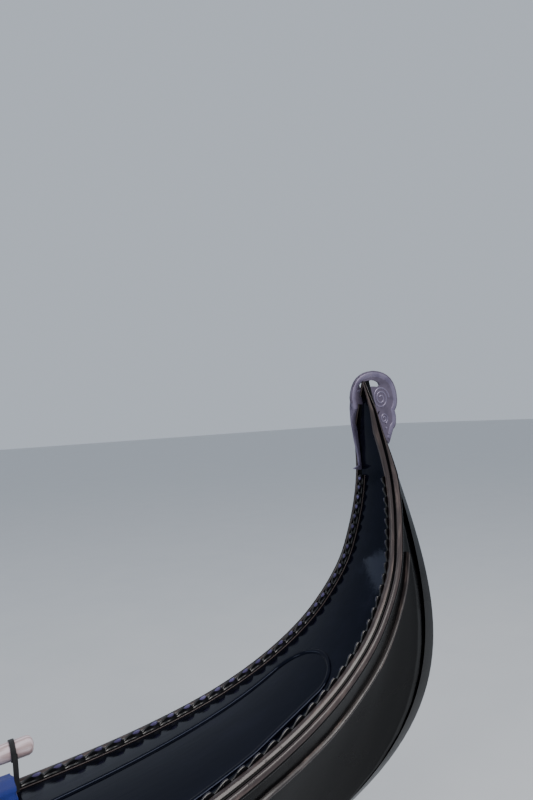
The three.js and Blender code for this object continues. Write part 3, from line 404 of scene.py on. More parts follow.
@dataclass(frozen=True)
class Cloth:
    """Woven cloth, by its thread size in metres and its sheen."""

    name: str = "red_cloth"
    thread: float = 0.0016
    light: Colour = (128, 22, 30)
    dark: Colour = (66, 8, 14)
    sheen: float = 0.4
    roughness: float = 0.85

    def make(self) -> Material:
        """Builds the material."""
        g = Graph(self.name)
        turned = g.mapped(g.own(), Rotation=(0.35, 0.5, 0.78))
        weft, warp = (
            g.waves(direction, turned, 0.32 / self.thread, Distortion=0.6, Detail=1.0)
            for direction in ("X", "Y")
        )
        weave = weft * (1 - warp)
        fade = g.cloud(6, 5)
        mask = (fade * 0.8 + weave * 0.5).step(0.3, 0.85)
        colour = g.blend(mask, srgb(*self.dark), srgb(*self.light))
        return g.close(
            Base_Color=colour,
            Roughness=self.roughness - fade * 0.1,
            Normal=g.bump(weave, self.thread * 0.35),
            Sheen_Weight=self.sheen,
            Sheen_Roughness=0.5,
        )


@dataclass(frozen=True)
class PolishedMetal:
    """Small bright metal fittings."""

    name: str = "brass"
    bright: Colour = (214, 172, 92)
    dull: Colour = (120, 88, 44)

    def make(self) -> Material:
        """Builds the material."""
        g = Graph(self.name)
        tarnish = g.cloud(40, 5).step(0.45, 0.75)
        return g.close(
            Base_Color=g.blend(tarnish, srgb(*self.bright), srgb(*self.dull)),
            Metallic=0.95,
            Roughness=0.22 + tarnish * 0.25,
            Normal=g.bump(g.cloud(120, 3), 0.0002),
        )


class Finish(Enum):
    """The finishes of the boat, each with the record's slot that it stands for."""

    DECK = (Lacquer("deck_lacquer", (5, 6, 14), (11, 12, 23), 0.1), "lacquer")
    INNER = (Lacquer("inner_lacquer", (14, 14, 17), (30, 30, 34), 0.28, True), "lacquer")
    HULL = (HullPaint(), "lacquer")
    MOULDING = (WornMoulding(), "worn_lacquer")
    RAIL = (
        WornMoulding("worn_rail", (44, 38, 38), (92, 80, 78), (120, 104, 98), 0.5), "worn_lacquer",
    )
    CARVING = (
        WornMoulding("carved_board", (11, 11, 14), (24, 21, 24), (44, 38, 40), 0.3), "worn_lacquer",
    )
    # Pale purple on the carved facets is a painted highlight, not the carving's own colour.
    LEAVES = (Lacquer("carved_facets", (74, 68, 100), (122, 114, 156), 0.3), "worn_lacquer")
    IRON = (IronPlate(), "iron")
    # A lighter copy of the same iron, a painted highlight on the band, scrolls, strip and rivets; its
    # lower roughness and greater metal are the iron's own.
    BRIGHT_IRON = (IronPlate("iron_rim", (124, 116, 140), (100, 92, 116), 0.34, 0.4), "iron")
    TIMBER = (Wood(), "timber")
    BOARDS = (Wood("floorboards", (134, 98, 64), (78, 52, 34), 0.55, (0.35, 6, 6), 0.11), "timber")
    WALNUT = (Wood("walnut", (112, 70, 42), (58, 34, 22), 0.36, (3, 3, 0.6)), "timber")
    OAR = (Wood("bleached_ash", (222, 204, 208), (184, 160, 160), 0.5, (0.3, 7, 7)), "oar_wood")
    RED = (Cloth(), "upholstery")
    BLUE = (Cloth("blue_cloth", 0.0011, (24, 60, 168), (8, 28, 104), 0.12, 0.8), "canvas")
    STRAP = (Cloth("black_webbing", 0.0014, (30, 30, 33), (12, 12, 14), 0.1, 0.75), "webbing")
    BRASS = (PolishedMetal(), "iron")

    def material(self) -> Material:
        """The finish's material, built once."""
        name = self.value[0].name
        return bpy.data.materials.get(name) or self.value[0].make()

    @property
    def slot(self) -> str:
        """The record's slot."""
        return self.value[1]


# Hull lines, with the part's own table, in millimetres


class Side(Enum):
    """The boat's two sides, each with its sign along Y."""

    PORT = 1
    STARBOARD = -1

    @property
    def word(self) -> str:
        """The side's name in small letters."""
        return self.name.lower()


# Upper edge of the side planks: x, z, half-breadth to port and to starboard. Then the lower edge.
HULL_COLUMNS = ("sx", "sz", "sp", "ss", "cx", "cz", "cp", "cs")
HULL_ROWS = (
    (-5120, 1978, 47, 47, -4800, 590, 47, 47),
    (-5164, 1654, 92, 82, -4720, 571, 48, 48),
    (-5120, 1403, 135, 117, -4630, 551, 50, 49),
    (-4995, 1215, 173, 148, -4520, 525, 53, 51),
    (-4801, 1080, 207, 175, -4390, 495, 57, 54),
    (-4550, 987, 239, 201, -4220, 455, 63, 59),
    (-4255, 929, 274, 230, -4000, 405, 75, 68),
    (-3924, 892, 316, 264, -3720, 340, 101, 86),
    (-3563, 858, 373, 311, -3400, 264, 142, 118),
    (-3172, 808, 448, 372, -3050, 176, 200, 162),
    (-2700, 748, 550, 442, -2620, 88, 280, 222),
    (-2000, 692, 690, 522, -2000, 24, 385, 295),
    (-1200, 665, 785, 570, -1200, 20.3, 485, 352),
    (-400, 655, 825, 590, -400, 20.3, 545, 388),
    (400, 655, 828, 590, 400, 20.3, 548, 390),
    (1200, 670, 785, 565, 1200, 20.3, 490, 355),
    (2000, 715, 690, 505, 1950, 30, 385, 290),
    (2750, 790, 555, 420, 2600, 75, 275, 215),
    (3400, 880, 415, 325, 3150, 150, 180, 148),
    (4000, 1000, 285, 230, 3650, 240, 110, 95),
    (4500, 1150, 180, 152, 4020, 320, 72, 66),
    (4850, 1300, 105, 93, 4250, 374, 55, 53),
    (5000, 1400, 66, 62, 4370, 404, 49, 48),
    (5040, 1450, 47, 47, 4420, 418, 47, 47),
)
END_ROW = len(HULL_ROWS) - 1


def smooth_slopes(values: tuple[float, ...]) -> tuple[float, ...]:
    """Slopes at the rows for a curve that never swings past them."""
    rise = [b - a for a, b in zip(values, values[1:])]
    inner = [0.0 if a * b <= 0 else 2 * a * b / (a + b) for a, b in zip(rise, rise[1:])]
    return (rise[0], *inner, rise[-1])


def hermite(start: float, leaving: float, end: float, arriving: float, f: float) -> float:
    """A cubic blend at a share f from start to end, numbers or vectors, with its slopes there."""
    return (
        start * (2 * f**3 - 3 * f**2 + 1)
        + leaving * (f**3 - 2 * f**2 + f)
        + end * (3 * f**2 - 2 * f**3)
        + arriving * (f**3 - f**2)
    )


def beside_corner(corner: Vector, out: Vector, up: Vector, spot: tuple[float, float]) -> Vector:
    """A point so many millimetres out and up from a corner in metres."""
    return corner + out * spot[0] / 1000 + up * spot[1] / 1000


def blend_rows(table: tuple[tuple[float, ...], ...], place: float) -> tuple[float, ...]:
    """A straight blend between the rows of a short table whose first column is the place."""
    if place <= table[0][0]:
        return table[0][1:]
    for low, high in zip(table, table[1:]):
        if place < high[0]:
            share = (place - low[0]) / (high[0] - low[0])
            return tuple(a * (1 - share) + b * share for a, b in zip(low[1:], high[1:]))
    return table[-1][1:]


@dataclass(frozen=True)
class Bezier:
    """A cubic curve in the centre plane, as x and z in millimetres."""

    points: tuple[tuple[float, float], ...]

    def at(self, v: float) -> Vector:
        """The point at a share of its length, in metres with y at 0."""
        weights = ((1 - v) ** 3, 3 * v * (1 - v) ** 2, 3 * v * v * (1 - v), v**3)
        x = sum(w * p[0] for w, p in zip(weights, self.points))
        z = sum(w * p[1] for w, p in zip(weights, self.points))
        return Vector((x, 0, z)) / 1000


@dataclass(frozen=True)
class Ends:
    """An end of the boat: where its planks stop, and its post's outer edge."""

    plank: Bezier
    edge: Bezier


STERN = Ends(
    Bezier(((-4800, 590), (-5625, 790), (-5290, 1420), (-5120, 1978))),
    Bezier(((-4861, 572), (-5775, 783), (-5305, 1460), (-5146, 1982))),
)
BOW = Ends(
    Bezier(((4420, 418), (5000, 560), (5190, 1040), (5040, 1450))),
    Bezier(((4462, 400), (5085, 545), (5275, 1040), (5088, 1456))),
)


class Lines:
    """The smooth hull that the solids follow in facets."""

    end_rows: int = 5
    bulge: float = 0.02
    tip: dict[str, Pairs] = {
        "ss": ((0, 69), (0.1, 55), (0.22, 39), (0.36, 18), (0.5, 0)),
        "sp": ((0, 18), (0.12, 11), (0.3, 0)),
    }
    thinning: Pairs = ((0, 2), (0.12, 8), (0.3, 16), (0.5, 22))

    def __init__(self, pointed: bool = True) -> None:
        """Reads the table's columns, with the stern drawn in to a point or not."""
        self.pointed = pointed
        self.columns = dict(zip(HULL_COLUMNS, zip(*HULL_ROWS)))
        self.slopes = {name: smooth_slopes(values) for name, values in self.columns.items()}

    def value(self, name: str, t: float) -> float:
        """A column's smooth value in millimetres at a place in the table."""
        values, slopes = self.columns[name], self.slopes[name]
        i = min(int(t), END_ROW - 1)
        drawn_in = blend_rows(self.tip[name], t)[0] if self.pointed and name in self.tip else 0.0
        return hermite(values[i], slopes[i], values[i + 1], slopes[i + 1], t - i) - drawn_in

    def thickness(self, t: float) -> float:
        """The planks' thickness in millimetres, thin at the stern's point."""
        return blend_rows(self.thinning, t)[0]

    def edge(self, row: str, t: float, side: Side) -> Vector:
        """A point on the planks' upper edge, row s, or on their lower one, row c."""
        x, z, breadth = (self.value(row + letter, t) for letter in ("x", "z", side.word[0]))
        return Vector((x, side.value * breadth, z)) / 1000

    def sheer(self, t: float, side: Side) -> Vector:
        """A point on the planks' upper outer edge."""
        return self.edge("s", t, side)

    def chine(self, t: float, side: Side) -> Vector:
        """A point on the planks' lower outer edge."""
        return self.edge("c", t, side)

    def edge_frame(self, t: float, side: Side) -> tuple[Vector, Vector, Vector]:
        """Directions at the upper edge.

        Args:
            t: the place in the table.
            side: which side.

        Returns:
            Along the boat towards the bow, outboard, and up out of the deck.
        """
        step = 0.02
        ahead, behind = self.sheer(min(t + step, END_ROW), side), self.sheer(max(t - step, 0), side)
        along = (ahead - behind).normalized()
        out = Vector((0, side.value, 0))
        out = (out - along * out.dot(along)).normalized()
        up = out.cross(along) * -side.value
        return along, out, up

    def beside(self, t: float, side: Side, out: float, up: float) -> Vector:
        """A point off the upper edge, with out and up in millimetres."""
        _, outward, upward = self.edge_frame(t, side)
        return beside_corner(self.sheer(t, side), outward, upward, (out, up))

    def skin(self, t: float, v: float, side: Side) -> Vector:
        """A point on the planks' outer face.

        Args:
            t: the place in the table.
            v: 0 at the lower edge, 1 at the upper one.
            side: which side.

        Returns:
            The point, bent to the post's curve near the ends.
        """
        low, high = self.chine(t, side), self.sheer(t, side)
        point = low.lerp(high, v)
        rows = min(t, END_ROW - t)
        swell = min(1.0, rows / self.end_rows)
        point.y += side.value * self.bulge * (high - low).length * math.sin(math.pi * v) * swell
        if rows < self.end_rows:
            ends, end = (STERN, 0) if t < END_ROW / 2 else (BOW, END_ROW)
            straight = self.chine(end, side).lerp(self.sheer(end, side), v)
            curved = ends.plank.at(v)
            share = (1 - rows / self.end_rows) ** 2
            point.x += share * (curved.x - straight.x)
            point.z += share * (curved.z - straight.z)
        return point

    def place_of(self, x: float) -> float:
        """The place in the table where the upper edge crosses x, in metres."""
        low, high = 1.2, END_ROW - 0.6
        for _ in range(40):
            middle = (low + high) / 2
            if self.value("sx", middle) < x * 1000:
                low = middle
            else:
                high = middle
        return (low + high) / 2


LINES = Lines()
SQUARE_LINES = Lines(pointed=False)
STEPS_A_ROW = 8
POINT_STEPS = 24


def stations(start: float, end: float, steps: int = STEPS_A_ROW) -> list[float]:
    """Evenly spaced places in the table, ends included, closer at the stern's point."""
    count = max(2, round((end - start) * steps))
    places = [start + (end - start) * i / count for i in range(count + 1)]
    fine = [i / POINT_STEPS for i in range(POINT_STEPS + 1)] if start == 0 else []
    return sorted({round(t, 6) for t in places + fine})


def placed(name: str, data: bpy.types.ID) -> Object:
    """A new object in the scene with that data."""
    thing = bpy.data.objects.new(name, data)
    bpy.context.scene.collection.objects.link(thing)
    return thing


def settle(work: BMesh, mesh: Mesh) -> None:
    """Turns a work mesh's faces outward, writes it into a mesh and frees it."""
    bmesh.ops.recalc_face_normals(work, faces=work.faces)
    work.to_mesh(mesh)
    work.free()


def loft(name: str, rings: list[list[Vector]], band: bool = False) -> Object:
    """A closed body through rings of equal length, unrolled in its UV map in metres.

    Args:
        name: the new object's name.
        rings: the rings, in order.
        band: whether a ring runs out along one curve and back along its neighbour.

    Returns:
        The object.
    """
    count = len(rings[0])
    middle = rings[len(rings) // 2]
    around = [0.0]
    for i in range(count):
        around.append(around[-1] + (middle[(i + 1) % count] - middle[i]).length)
    along = [0.0]
    for a, b in zip(rings, rings[1:]):
        along.append(along[-1] + (b[0] - a[0]).length)
    faces, unrolled = [], []
    for r in range(len(rings) - 1):
        for i in range(count):
            j = (i + 1) % count
            faces.append((r * count + i, r * count + j, (r + 1) * count + j, (r + 1) * count + i))
            unrolled += [(along[r], around[i]), (along[r], around[i + 1])]
            unrolled += [(along[r + 1], around[i + 1]), (along[r + 1], around[i])]
    for base, turn in ((0, -1), ((len(rings) - 1) * count, 1)):
        if band:
            closing = [(i, i + 1, count - 2 - i, count - 1 - i) for i in range(count // 2 - 1)]
        else:
            closing = [tuple(range(count))]
        for face in closing:
            faces.append(tuple(base + i for i in face)[::turn])
            unrolled += [(0.0, 0.0)] * len(face)
    mesh = bpy.data.meshes.new(name)
    mesh.from_pydata([p for ring in rings for p in ring], [], faces)
    layer = mesh.uv_layers.new(name="UVMap")
    for corner, spot in zip(layer.data, unrolled):
        corner.uv = spot
    work = bmesh.new()
    work.from_mesh(mesh)
    settle(work, mesh)
    return placed(name, mesh)


# Mesh helpers


def finish_piece(thing: Object, body: str, look: Finish, angle: float = 35.0) -> None:
    """Gives a piece its finish and its body, and shades it smooth.

    Args:
        thing: the piece, at the origin.
        body: the CAD body that it rides on.
        look: its finish.
        angle: the sharpest angle that is still smoothed, in degrees.
    """
    if not thing.data.materials:
        thing.data.materials.append(look.material())
    thing.data.shade_smooth()
    mark_sharp(thing.data, angle)
    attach(thing, body)
    LOG.info("%s: %d faces", thing.name, len(thing.data.polygons))


def mark_sharp(mesh: Mesh, angle: float) -> None:
    """Keeps edges hard where the faces turn by more than an angle in degrees."""
    work = bmesh.new()
    work.from_mesh(mesh)
    limit = math.radians(angle)
    for edge in work.edges:
        edge.smooth = len(edge.link_faces) == 2 and edge.calc_face_angle(0) < limit
    work.to_mesh(mesh)
    work.free()


def stand_in(
    thing: Object, node: str, look: Finish, body: str = "hull", angle: float = 35.0
) -> None:
    """Finishes a piece that takes a CAD node's place."""
    finish_piece(thing, body, look, angle=angle)
    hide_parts(node)


def surface_of(thing: Object) -> BVHTree:
    """A mesh's faces, ready to be hit by rays."""
    mesh = thing.data
    return BVHTree.FromPolygons([v.co for v in mesh.vertices], [f.vertices for f in mesh.polygons])


def new_object(name: str, work: BMesh) -> Object:
    """Turns a work mesh into an object in the scene.

    Args:
        name: the object's name.
        work: the mesh, which is freed.

    Returns:
        The object.
    """
    mesh = bpy.data.meshes.new(name)
    bmesh.ops.remove_doubles(work, verts=work.verts, dist=1e-6)
    settle(work, mesh)
    return placed(name, mesh)


def swept(work: BMesh, rings: list[list[Vector]]) -> None:
    """Adds a closed body through rings of equal length."""
    loops = [[work.verts.new(p) for p in ring] for ring in rings]
    count = len(loops[0])
    for a, b in zip(loops, loops[1:]):
        for i in range(count):
            j = (i + 1) % count
            work.faces.new((a[i], a[j], b[j], b[i]))
    work.faces.new(loops[0][::-1])
    work.faces.new(loops[-1])


def bar(
    work: BMesh, path: list[Vector], radius: float, up: Vector, flat: float = 1.0,
    sides: int = 8,
) -> None:
    """Adds a round bar along a path.

    Args:
        work: the mesh that it joins.
        path: the points of its centre line.
        radius: its half-width.
        up: a direction across the path, where the bar is flattened.
        flat: its height as a share of its width.
        sides: the number of sides.
    """
    rings = []
    for i, point in enumerate(path):
        along = (path[min(i + 1, len(path) - 1)] - path[max(i - 1, 0)]).normalized()
        side = along.cross(up).normalized()
        top = side.cross(along)
        rings.append(
            [
                point
                + side * radius * math.cos(2 * math.pi * k / sides)
                + top * radius * flat * math.sin(2 * math.pi * k / sides)
                for k in range(sides)
            ]
        )
    swept(work, rings)


def copy_of_node(node: str, name: str) -> Object:
    """A merged copy of a CAD node's mesh as a new object."""
    work = bmesh.new()
    work.from_mesh(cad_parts[node].data)
    return new_object(name, work)


def evaluated(thing: Object) -> None:
    """Bakes every modifier of an object into its mesh."""
    graph = bpy.context.evaluated_depsgraph_get()
    mesh = bpy.data.meshes.new_from_object(thing.evaluated_get(graph))
    thing.modifiers.clear()
    thing.data = mesh


# Repeats along a path


@dataclass
class Spot:
    """One place in a row of like things."""

    where: Vector
    along: Vector
    up: Vector
    size: Vector


class Row:
    """A Geometry Nodes tree that puts one small form on every point of a list."""

    def __init__(self, name: str, template: Object, look: Finish) -> None:
        """Prepares the tree.

        Args:
            name: the tree's name.
            template: the form, one unit long along X, with Z up.
            look: the finish of all of them.
        """
        self.template = template
        self.look = look
        self.tree = bpy.data.node_groups.new(name, "GeometryNodeTree")
        face = self.tree.interface
        face.new_socket("Geometry", in_out="INPUT", socket_type="NodeSocketGeometry")
        self.form = face.new_socket("Form", in_out="INPUT", socket_type="NodeSocketObject")
        self.grow = face.new_socket("Size", in_out="INPUT", socket_type="NodeSocketFloat")
        face.new_socket("Geometry", in_out="OUTPUT", socket_type="NodeSocketGeometry")
        self.wire()

    def add(
        self, kind: str, inputs: dict[int | str, NodeSocket], **settings: object
    ) -> "bpy.types.bpy_prop_collection":
        """Adds one node.

        Args:
            kind: the node's type.
            inputs: what is linked to its input sockets.
            settings: its own settings, set before the links.

        Returns:
            Its output sockets, by name.
        """
        node = self.tree.nodes.new(kind)
        for key, value in settings.items():
            setattr(node, key, value)
        for key, socket in inputs.items():
            self.tree.links.new(socket, node.inputs[key])
        return node.outputs

    def attribute(self, name: str) -> NodeSocket:
        """The vector that each point carries under a name."""
        node = self.tree.nodes.new("GeometryNodeInputNamedAttribute")
        node.data_type = "FLOAT_VECTOR"
        node.inputs["Name"].default_value = name
        return node.outputs["Attribute"]

    def wire(self) -> None:
        """Links the nodes."""
        align = "FunctionNodeAlignRotationToVector"
        given = self.add("NodeGroupInput", {})
        held = {"Object": given["Form"]}
        form = self.add("GeometryNodeObjectInfo", held, transform_space="ORIGINAL")
        turned = self.add(align, {"Vector": self.attribute("along")}, axis="X")["Rotation"]
        upright = {"Rotation": turned, "Vector": self.attribute("up")}
        turned = self.add(align, upright, axis="Z", pivot_axis="X")["Rotation"]
        sized = {0: self.attribute("size"), "Scale": given["Size"]}
        scale = self.add("ShaderNodeVectorMath", sized, operation="SCALE")["Vector"]
        points = {"Points": given["Geometry"], "Instance": form["Geometry"]}
        put = self.add("GeometryNodeInstanceOnPoints", {**points, "Rotation": turned, "Scale": scale})
        real = self.add("GeometryNodeRealizeInstances", {"Geometry": put["Instances"]})
        paint = self.tree.nodes.new("GeometryNodeSetMaterial")
        paint.inputs["Material"].default_value = self.look.material()
        self.tree.links.new(real["Geometry"], paint.inputs["Geometry"])
        self.add("NodeGroupOutput", {"Geometry": paint.outputs["Geometry"]})

    def bake(self, name: str, spots: list[Spot]) -> Object:
        """Makes one plain mesh of all the forms.

        Args:
            name: the new piece's name.
            spots: where the forms stand.

        Returns:
            The piece, with no modifier left.
        """
        mesh = bpy.data.meshes.new(name)
        mesh.from_pydata([s.where for s in spots], [], [])
        for key in ("along", "up", "size"):
            data = mesh.attributes.new(key, "FLOAT_VECTOR", "POINT")
            for i, spot in enumerate(spots):
                data.data[i].vector = getattr(spot, key)
        thing = placed(name, mesh)
        modifier = thing.modifiers.new("row", "NODES")
        modifier.node_group = self.tree
        modifier[self.form.identifier] = self.template
        modifier[self.grow.identifier] = 1.0
        evaluated(thing)
        for key in ("along", "up", "size"):
            if key in thing.data.attributes:
                thing.data.attributes.remove(thing.data.attributes[key])
        return thing


def template(name: str, work: BMesh) -> Object:
    """Keeps a small form out of the scene, for a row to repeat."""
    mesh = bpy.data.meshes.new(name)
    settle(work, mesh)
    mesh.shade_smooth()
    return bpy.data.objects.new(name, mesh)


def leaf_form() -> Object:
    """A carved leaf, one unit long and wide, half a unit high, flat underneath."""
    work = bmesh.new()
    steps, ribs = 7, 6
    rings = []
    for i in range(steps):
        share = i / (steps - 1)
        x = -0.52 + 1.04 * share
        half = 0.5 * math.sin(math.pi * min(1.0, 0.12 + share * 0.94)) ** 0.6
        lift = 0.16 + 0.34 * math.sin(math.pi * share) ** 0.7 * (1 - 0.45 * share)
        ring = []
        for k in range(ribs + 1):
            turn = math.pi * k / ribs
            ridge = 1.0 + 0.16 * math.cos(4 * turn)
            ring.append(Vector((x, half * math.cos(turn), lift * math.sin(turn) * ridge - 0.02)))
        ring.append(Vector((x, 0, -0.06)))
        rings.append(ring)
    swept(work, rings)
    return template("leaf_form", work)


def stud_form() -> Object:
    """A round nail or rivet head, one unit wide."""
    work = bmesh.new()
    rings = []
    turns = [math.pi * k / 5 for k in range(10)]
    for height, radius in ((-0.12, 0.5), (0.0, 0.5), (0.16, 0.43), (0.27, 0.25), (0.3, 0.02)):
        rings.append([Vector((radius * math.cos(a), radius * math.sin(a), height)) for a in turns])
    swept(work, rings)
    return template("stud_form", work)


# The stage


@dataclass
class Studio:
    """The camera, the floor at the waterline and the lights."""

    eye: Triple = (-3.573, 1.670, 1.877)
    yaw: float = 235.343
    pitch: float = 1.447
    roll: float = -3.204
    focal_px: float = 646.0
    photo_height_px: int = 800
    sensor_mm: float = 36
    step: float = 0.05
    steps: int = 90

    def camera(self) -> None:
        """Makes the camera at the photograph's place."""
        yaw, pitch, roll = (math.radians(a) for a in (self.yaw, self.pitch, self.roll))
        flat = math.cos(pitch)
        ahead = Vector((flat * math.cos(yaw), flat * math.sin(yaw), math.sin(pitch)))
        right = ahead.cross(UP).normalized()
        up = right.cross(ahead)
        straight, tilt = math.cos(roll), math.sin(roll)
        right, up = right * straight + up * tilt, up * straight - right * tilt
        data = bpy.data.cameras.new("camera")
        data.sensor_width = self.sensor_mm
        data.lens = self.focal_px / self.photo_height_px * self.sensor_mm
        data.clip_start, data.clip_end = 0.05, 200
        thing = placed("camera", data)
        turned = Matrix((right, up, -ahead)).transposed().to_4x4()
        thing.matrix_world = Matrix.Translation(self.eye) @ turned
        bpy.context.scene.camera = thing

    def outline(self) -> list[tuple[float, float, float]]:
        """Where the hull stands in the floor.

        Returns:
            For each place along the boat, x and the hull's y to starboard and to port.
        """
        trees = [surface_of(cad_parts[name]) for name in ("side_starboard", "side_port")]
        found = []
        for i in range(-self.steps, self.steps + 1):
            x = i * self.step
            hits = [
                tree.ray_cast(Vector((x, side * 3, WATERLINE)), Vector((0, -side, 0)))[0]
                for tree, side in zip(trees, (-1, 1))
            ]
            if all(hits):
                found.append((x, hits[0].y, hits[1].y))
        return found

    def floor(self) -> None:
        """Makes a pale floor at the waterline, open where the hull goes through it."""
        far = 60.0
        inset = 0.004
        line = self.outline()
        first, last = line[0], line[-1]
        work = bmesh.new()

        def patch(*corners: tuple[float, float]) -> None:
            """Adds one flat patch."""
            work.faces.new([work.verts.new((x, y, WATERLINE)) for x, y in corners])

        for a, b in zip(line, line[1:]):
            patch((a[0], a[2] - inset), (b[0], b[2] - inset), (b[0], far), (a[0], far))
            patch((a[0], -far), (b[0], -far), (b[0], b[1] + inset), (a[0], a[1] + inset))
        aft, fore = first[0], last[0]
        patch((-far, -far), (aft, -far), (aft, first[1]), (aft, first[2]), (aft, far), (-far, far))
        patch((fore, -far), (far, -far), (far, far), (fore, far), (fore, last[2]), (fore, last[1]))
        thing = new_object("floor", work)
        for face in thing.data.polygons:
            if face.normal.z < 0:
                face.flip()
        g = Graph("floor")
        grain = g.cloud(3, 3)
        thing.data.materials.append(
            g.close(
                Base_Color=g.blend(grain, srgb(206, 208, 210), srgb(214, 215, 216)),
                Roughness=0.6 + grain * 0.1,
                Normal=g.bump(grain, 0.0005),
            )
        )

    def lights(self) -> None:
        """Makes a soft sky and three large soft lights."""
        world = bpy.data.worlds.new("sky")
        world.use_nodes = True
        back = world.node_tree.nodes["Background"]
        back.inputs["Color"].default_value = (0.80, 0.88, 1.0, 1.0)
        back.inputs["Strength"].default_value = 0.62
        bpy.context.scene.world = world
        for name, place, size, power, colour in (
            ("key", (-6.0, 5.0, 6.5), 4.0, 420, (1.0, 0.96, 0.92)),
            ("fill", (3.5, -6.5, 7.5), 5.0, 150, (0.85, 0.92, 1.0)),
            ("bow_light", (6.0, 4.0, 6.0), 4.0, 260, (1.0, 0.98, 0.94)),
        ):
            data = bpy.data.lights.new(name, "AREA")
            data.size, data.energy, data.color = size, power, colour
            thing = placed(name, data)
            thing.location = place
            aim = Vector((place[0] * 0.55, 0, 0.6)) - Vector(place)
            thing.rotation_euler = aim.to_track_quat("-Z", "Y").to_euler()


# The boat's parts


def both(*names: str) -> tuple[str, ...]:
    """Each of those names twice, with the word of either side after it."""
    return tuple(f"{name}_{side.word}" for name in names for side in Side)


@dataclass
class Joinery:
    """The CAD's own boards, ribs, doors and plates, with their finishes."""

    looks: dict[Finish, tuple[str, ...]] = field(
        default_factory=lambda: {
            Finish.HULL: ("bottom", *both("side"), "sternpost", "stem"),
            Finish.DECK: (
                "aft_deck", "foredeck", "deck_bead", "seat_base", "seat_back", *both("stool"),
                "aft_thwart", "fore_thwart", "oarlock_block",
            ),
            Finish.INNER: (
                *both("ribs"), "aft_bulkhead", "aft_locker_door", "fore_bulkhead", "fore_locker_door",
            ),
            Finish.MOULDING: both("gunwale", "side_rail", "aft_trim", "fore_trim"),
            Finish.TIMBER: ("floor_timbers",),
            Finish.BOARDS: ("floorboards", "footboard"),
            Finish.RED: ("seat_cushion", "seat_back_cushion", *both("stool_cushion")),
            Finish.IRON: ("stern_iron", "bow_iron"),
            Finish.OAR: ("oar",),
            Finish.BLUE: ("cover",),
            Finish.STRAP: ("strap",),
            Finish.WALNUT: ("oarlock",),
        }
    )

    def dress(self) -> None:
        """Gives every CAD node its finish."""
        for look, names in self.looks.items():
            for name in names:
                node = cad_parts[name]
                node.data.materials.clear()
                node.data.materials.append(look.material())
        LOG.info("joinery: %d nodes dressed", sum(len(names) for names in self.looks.values()))


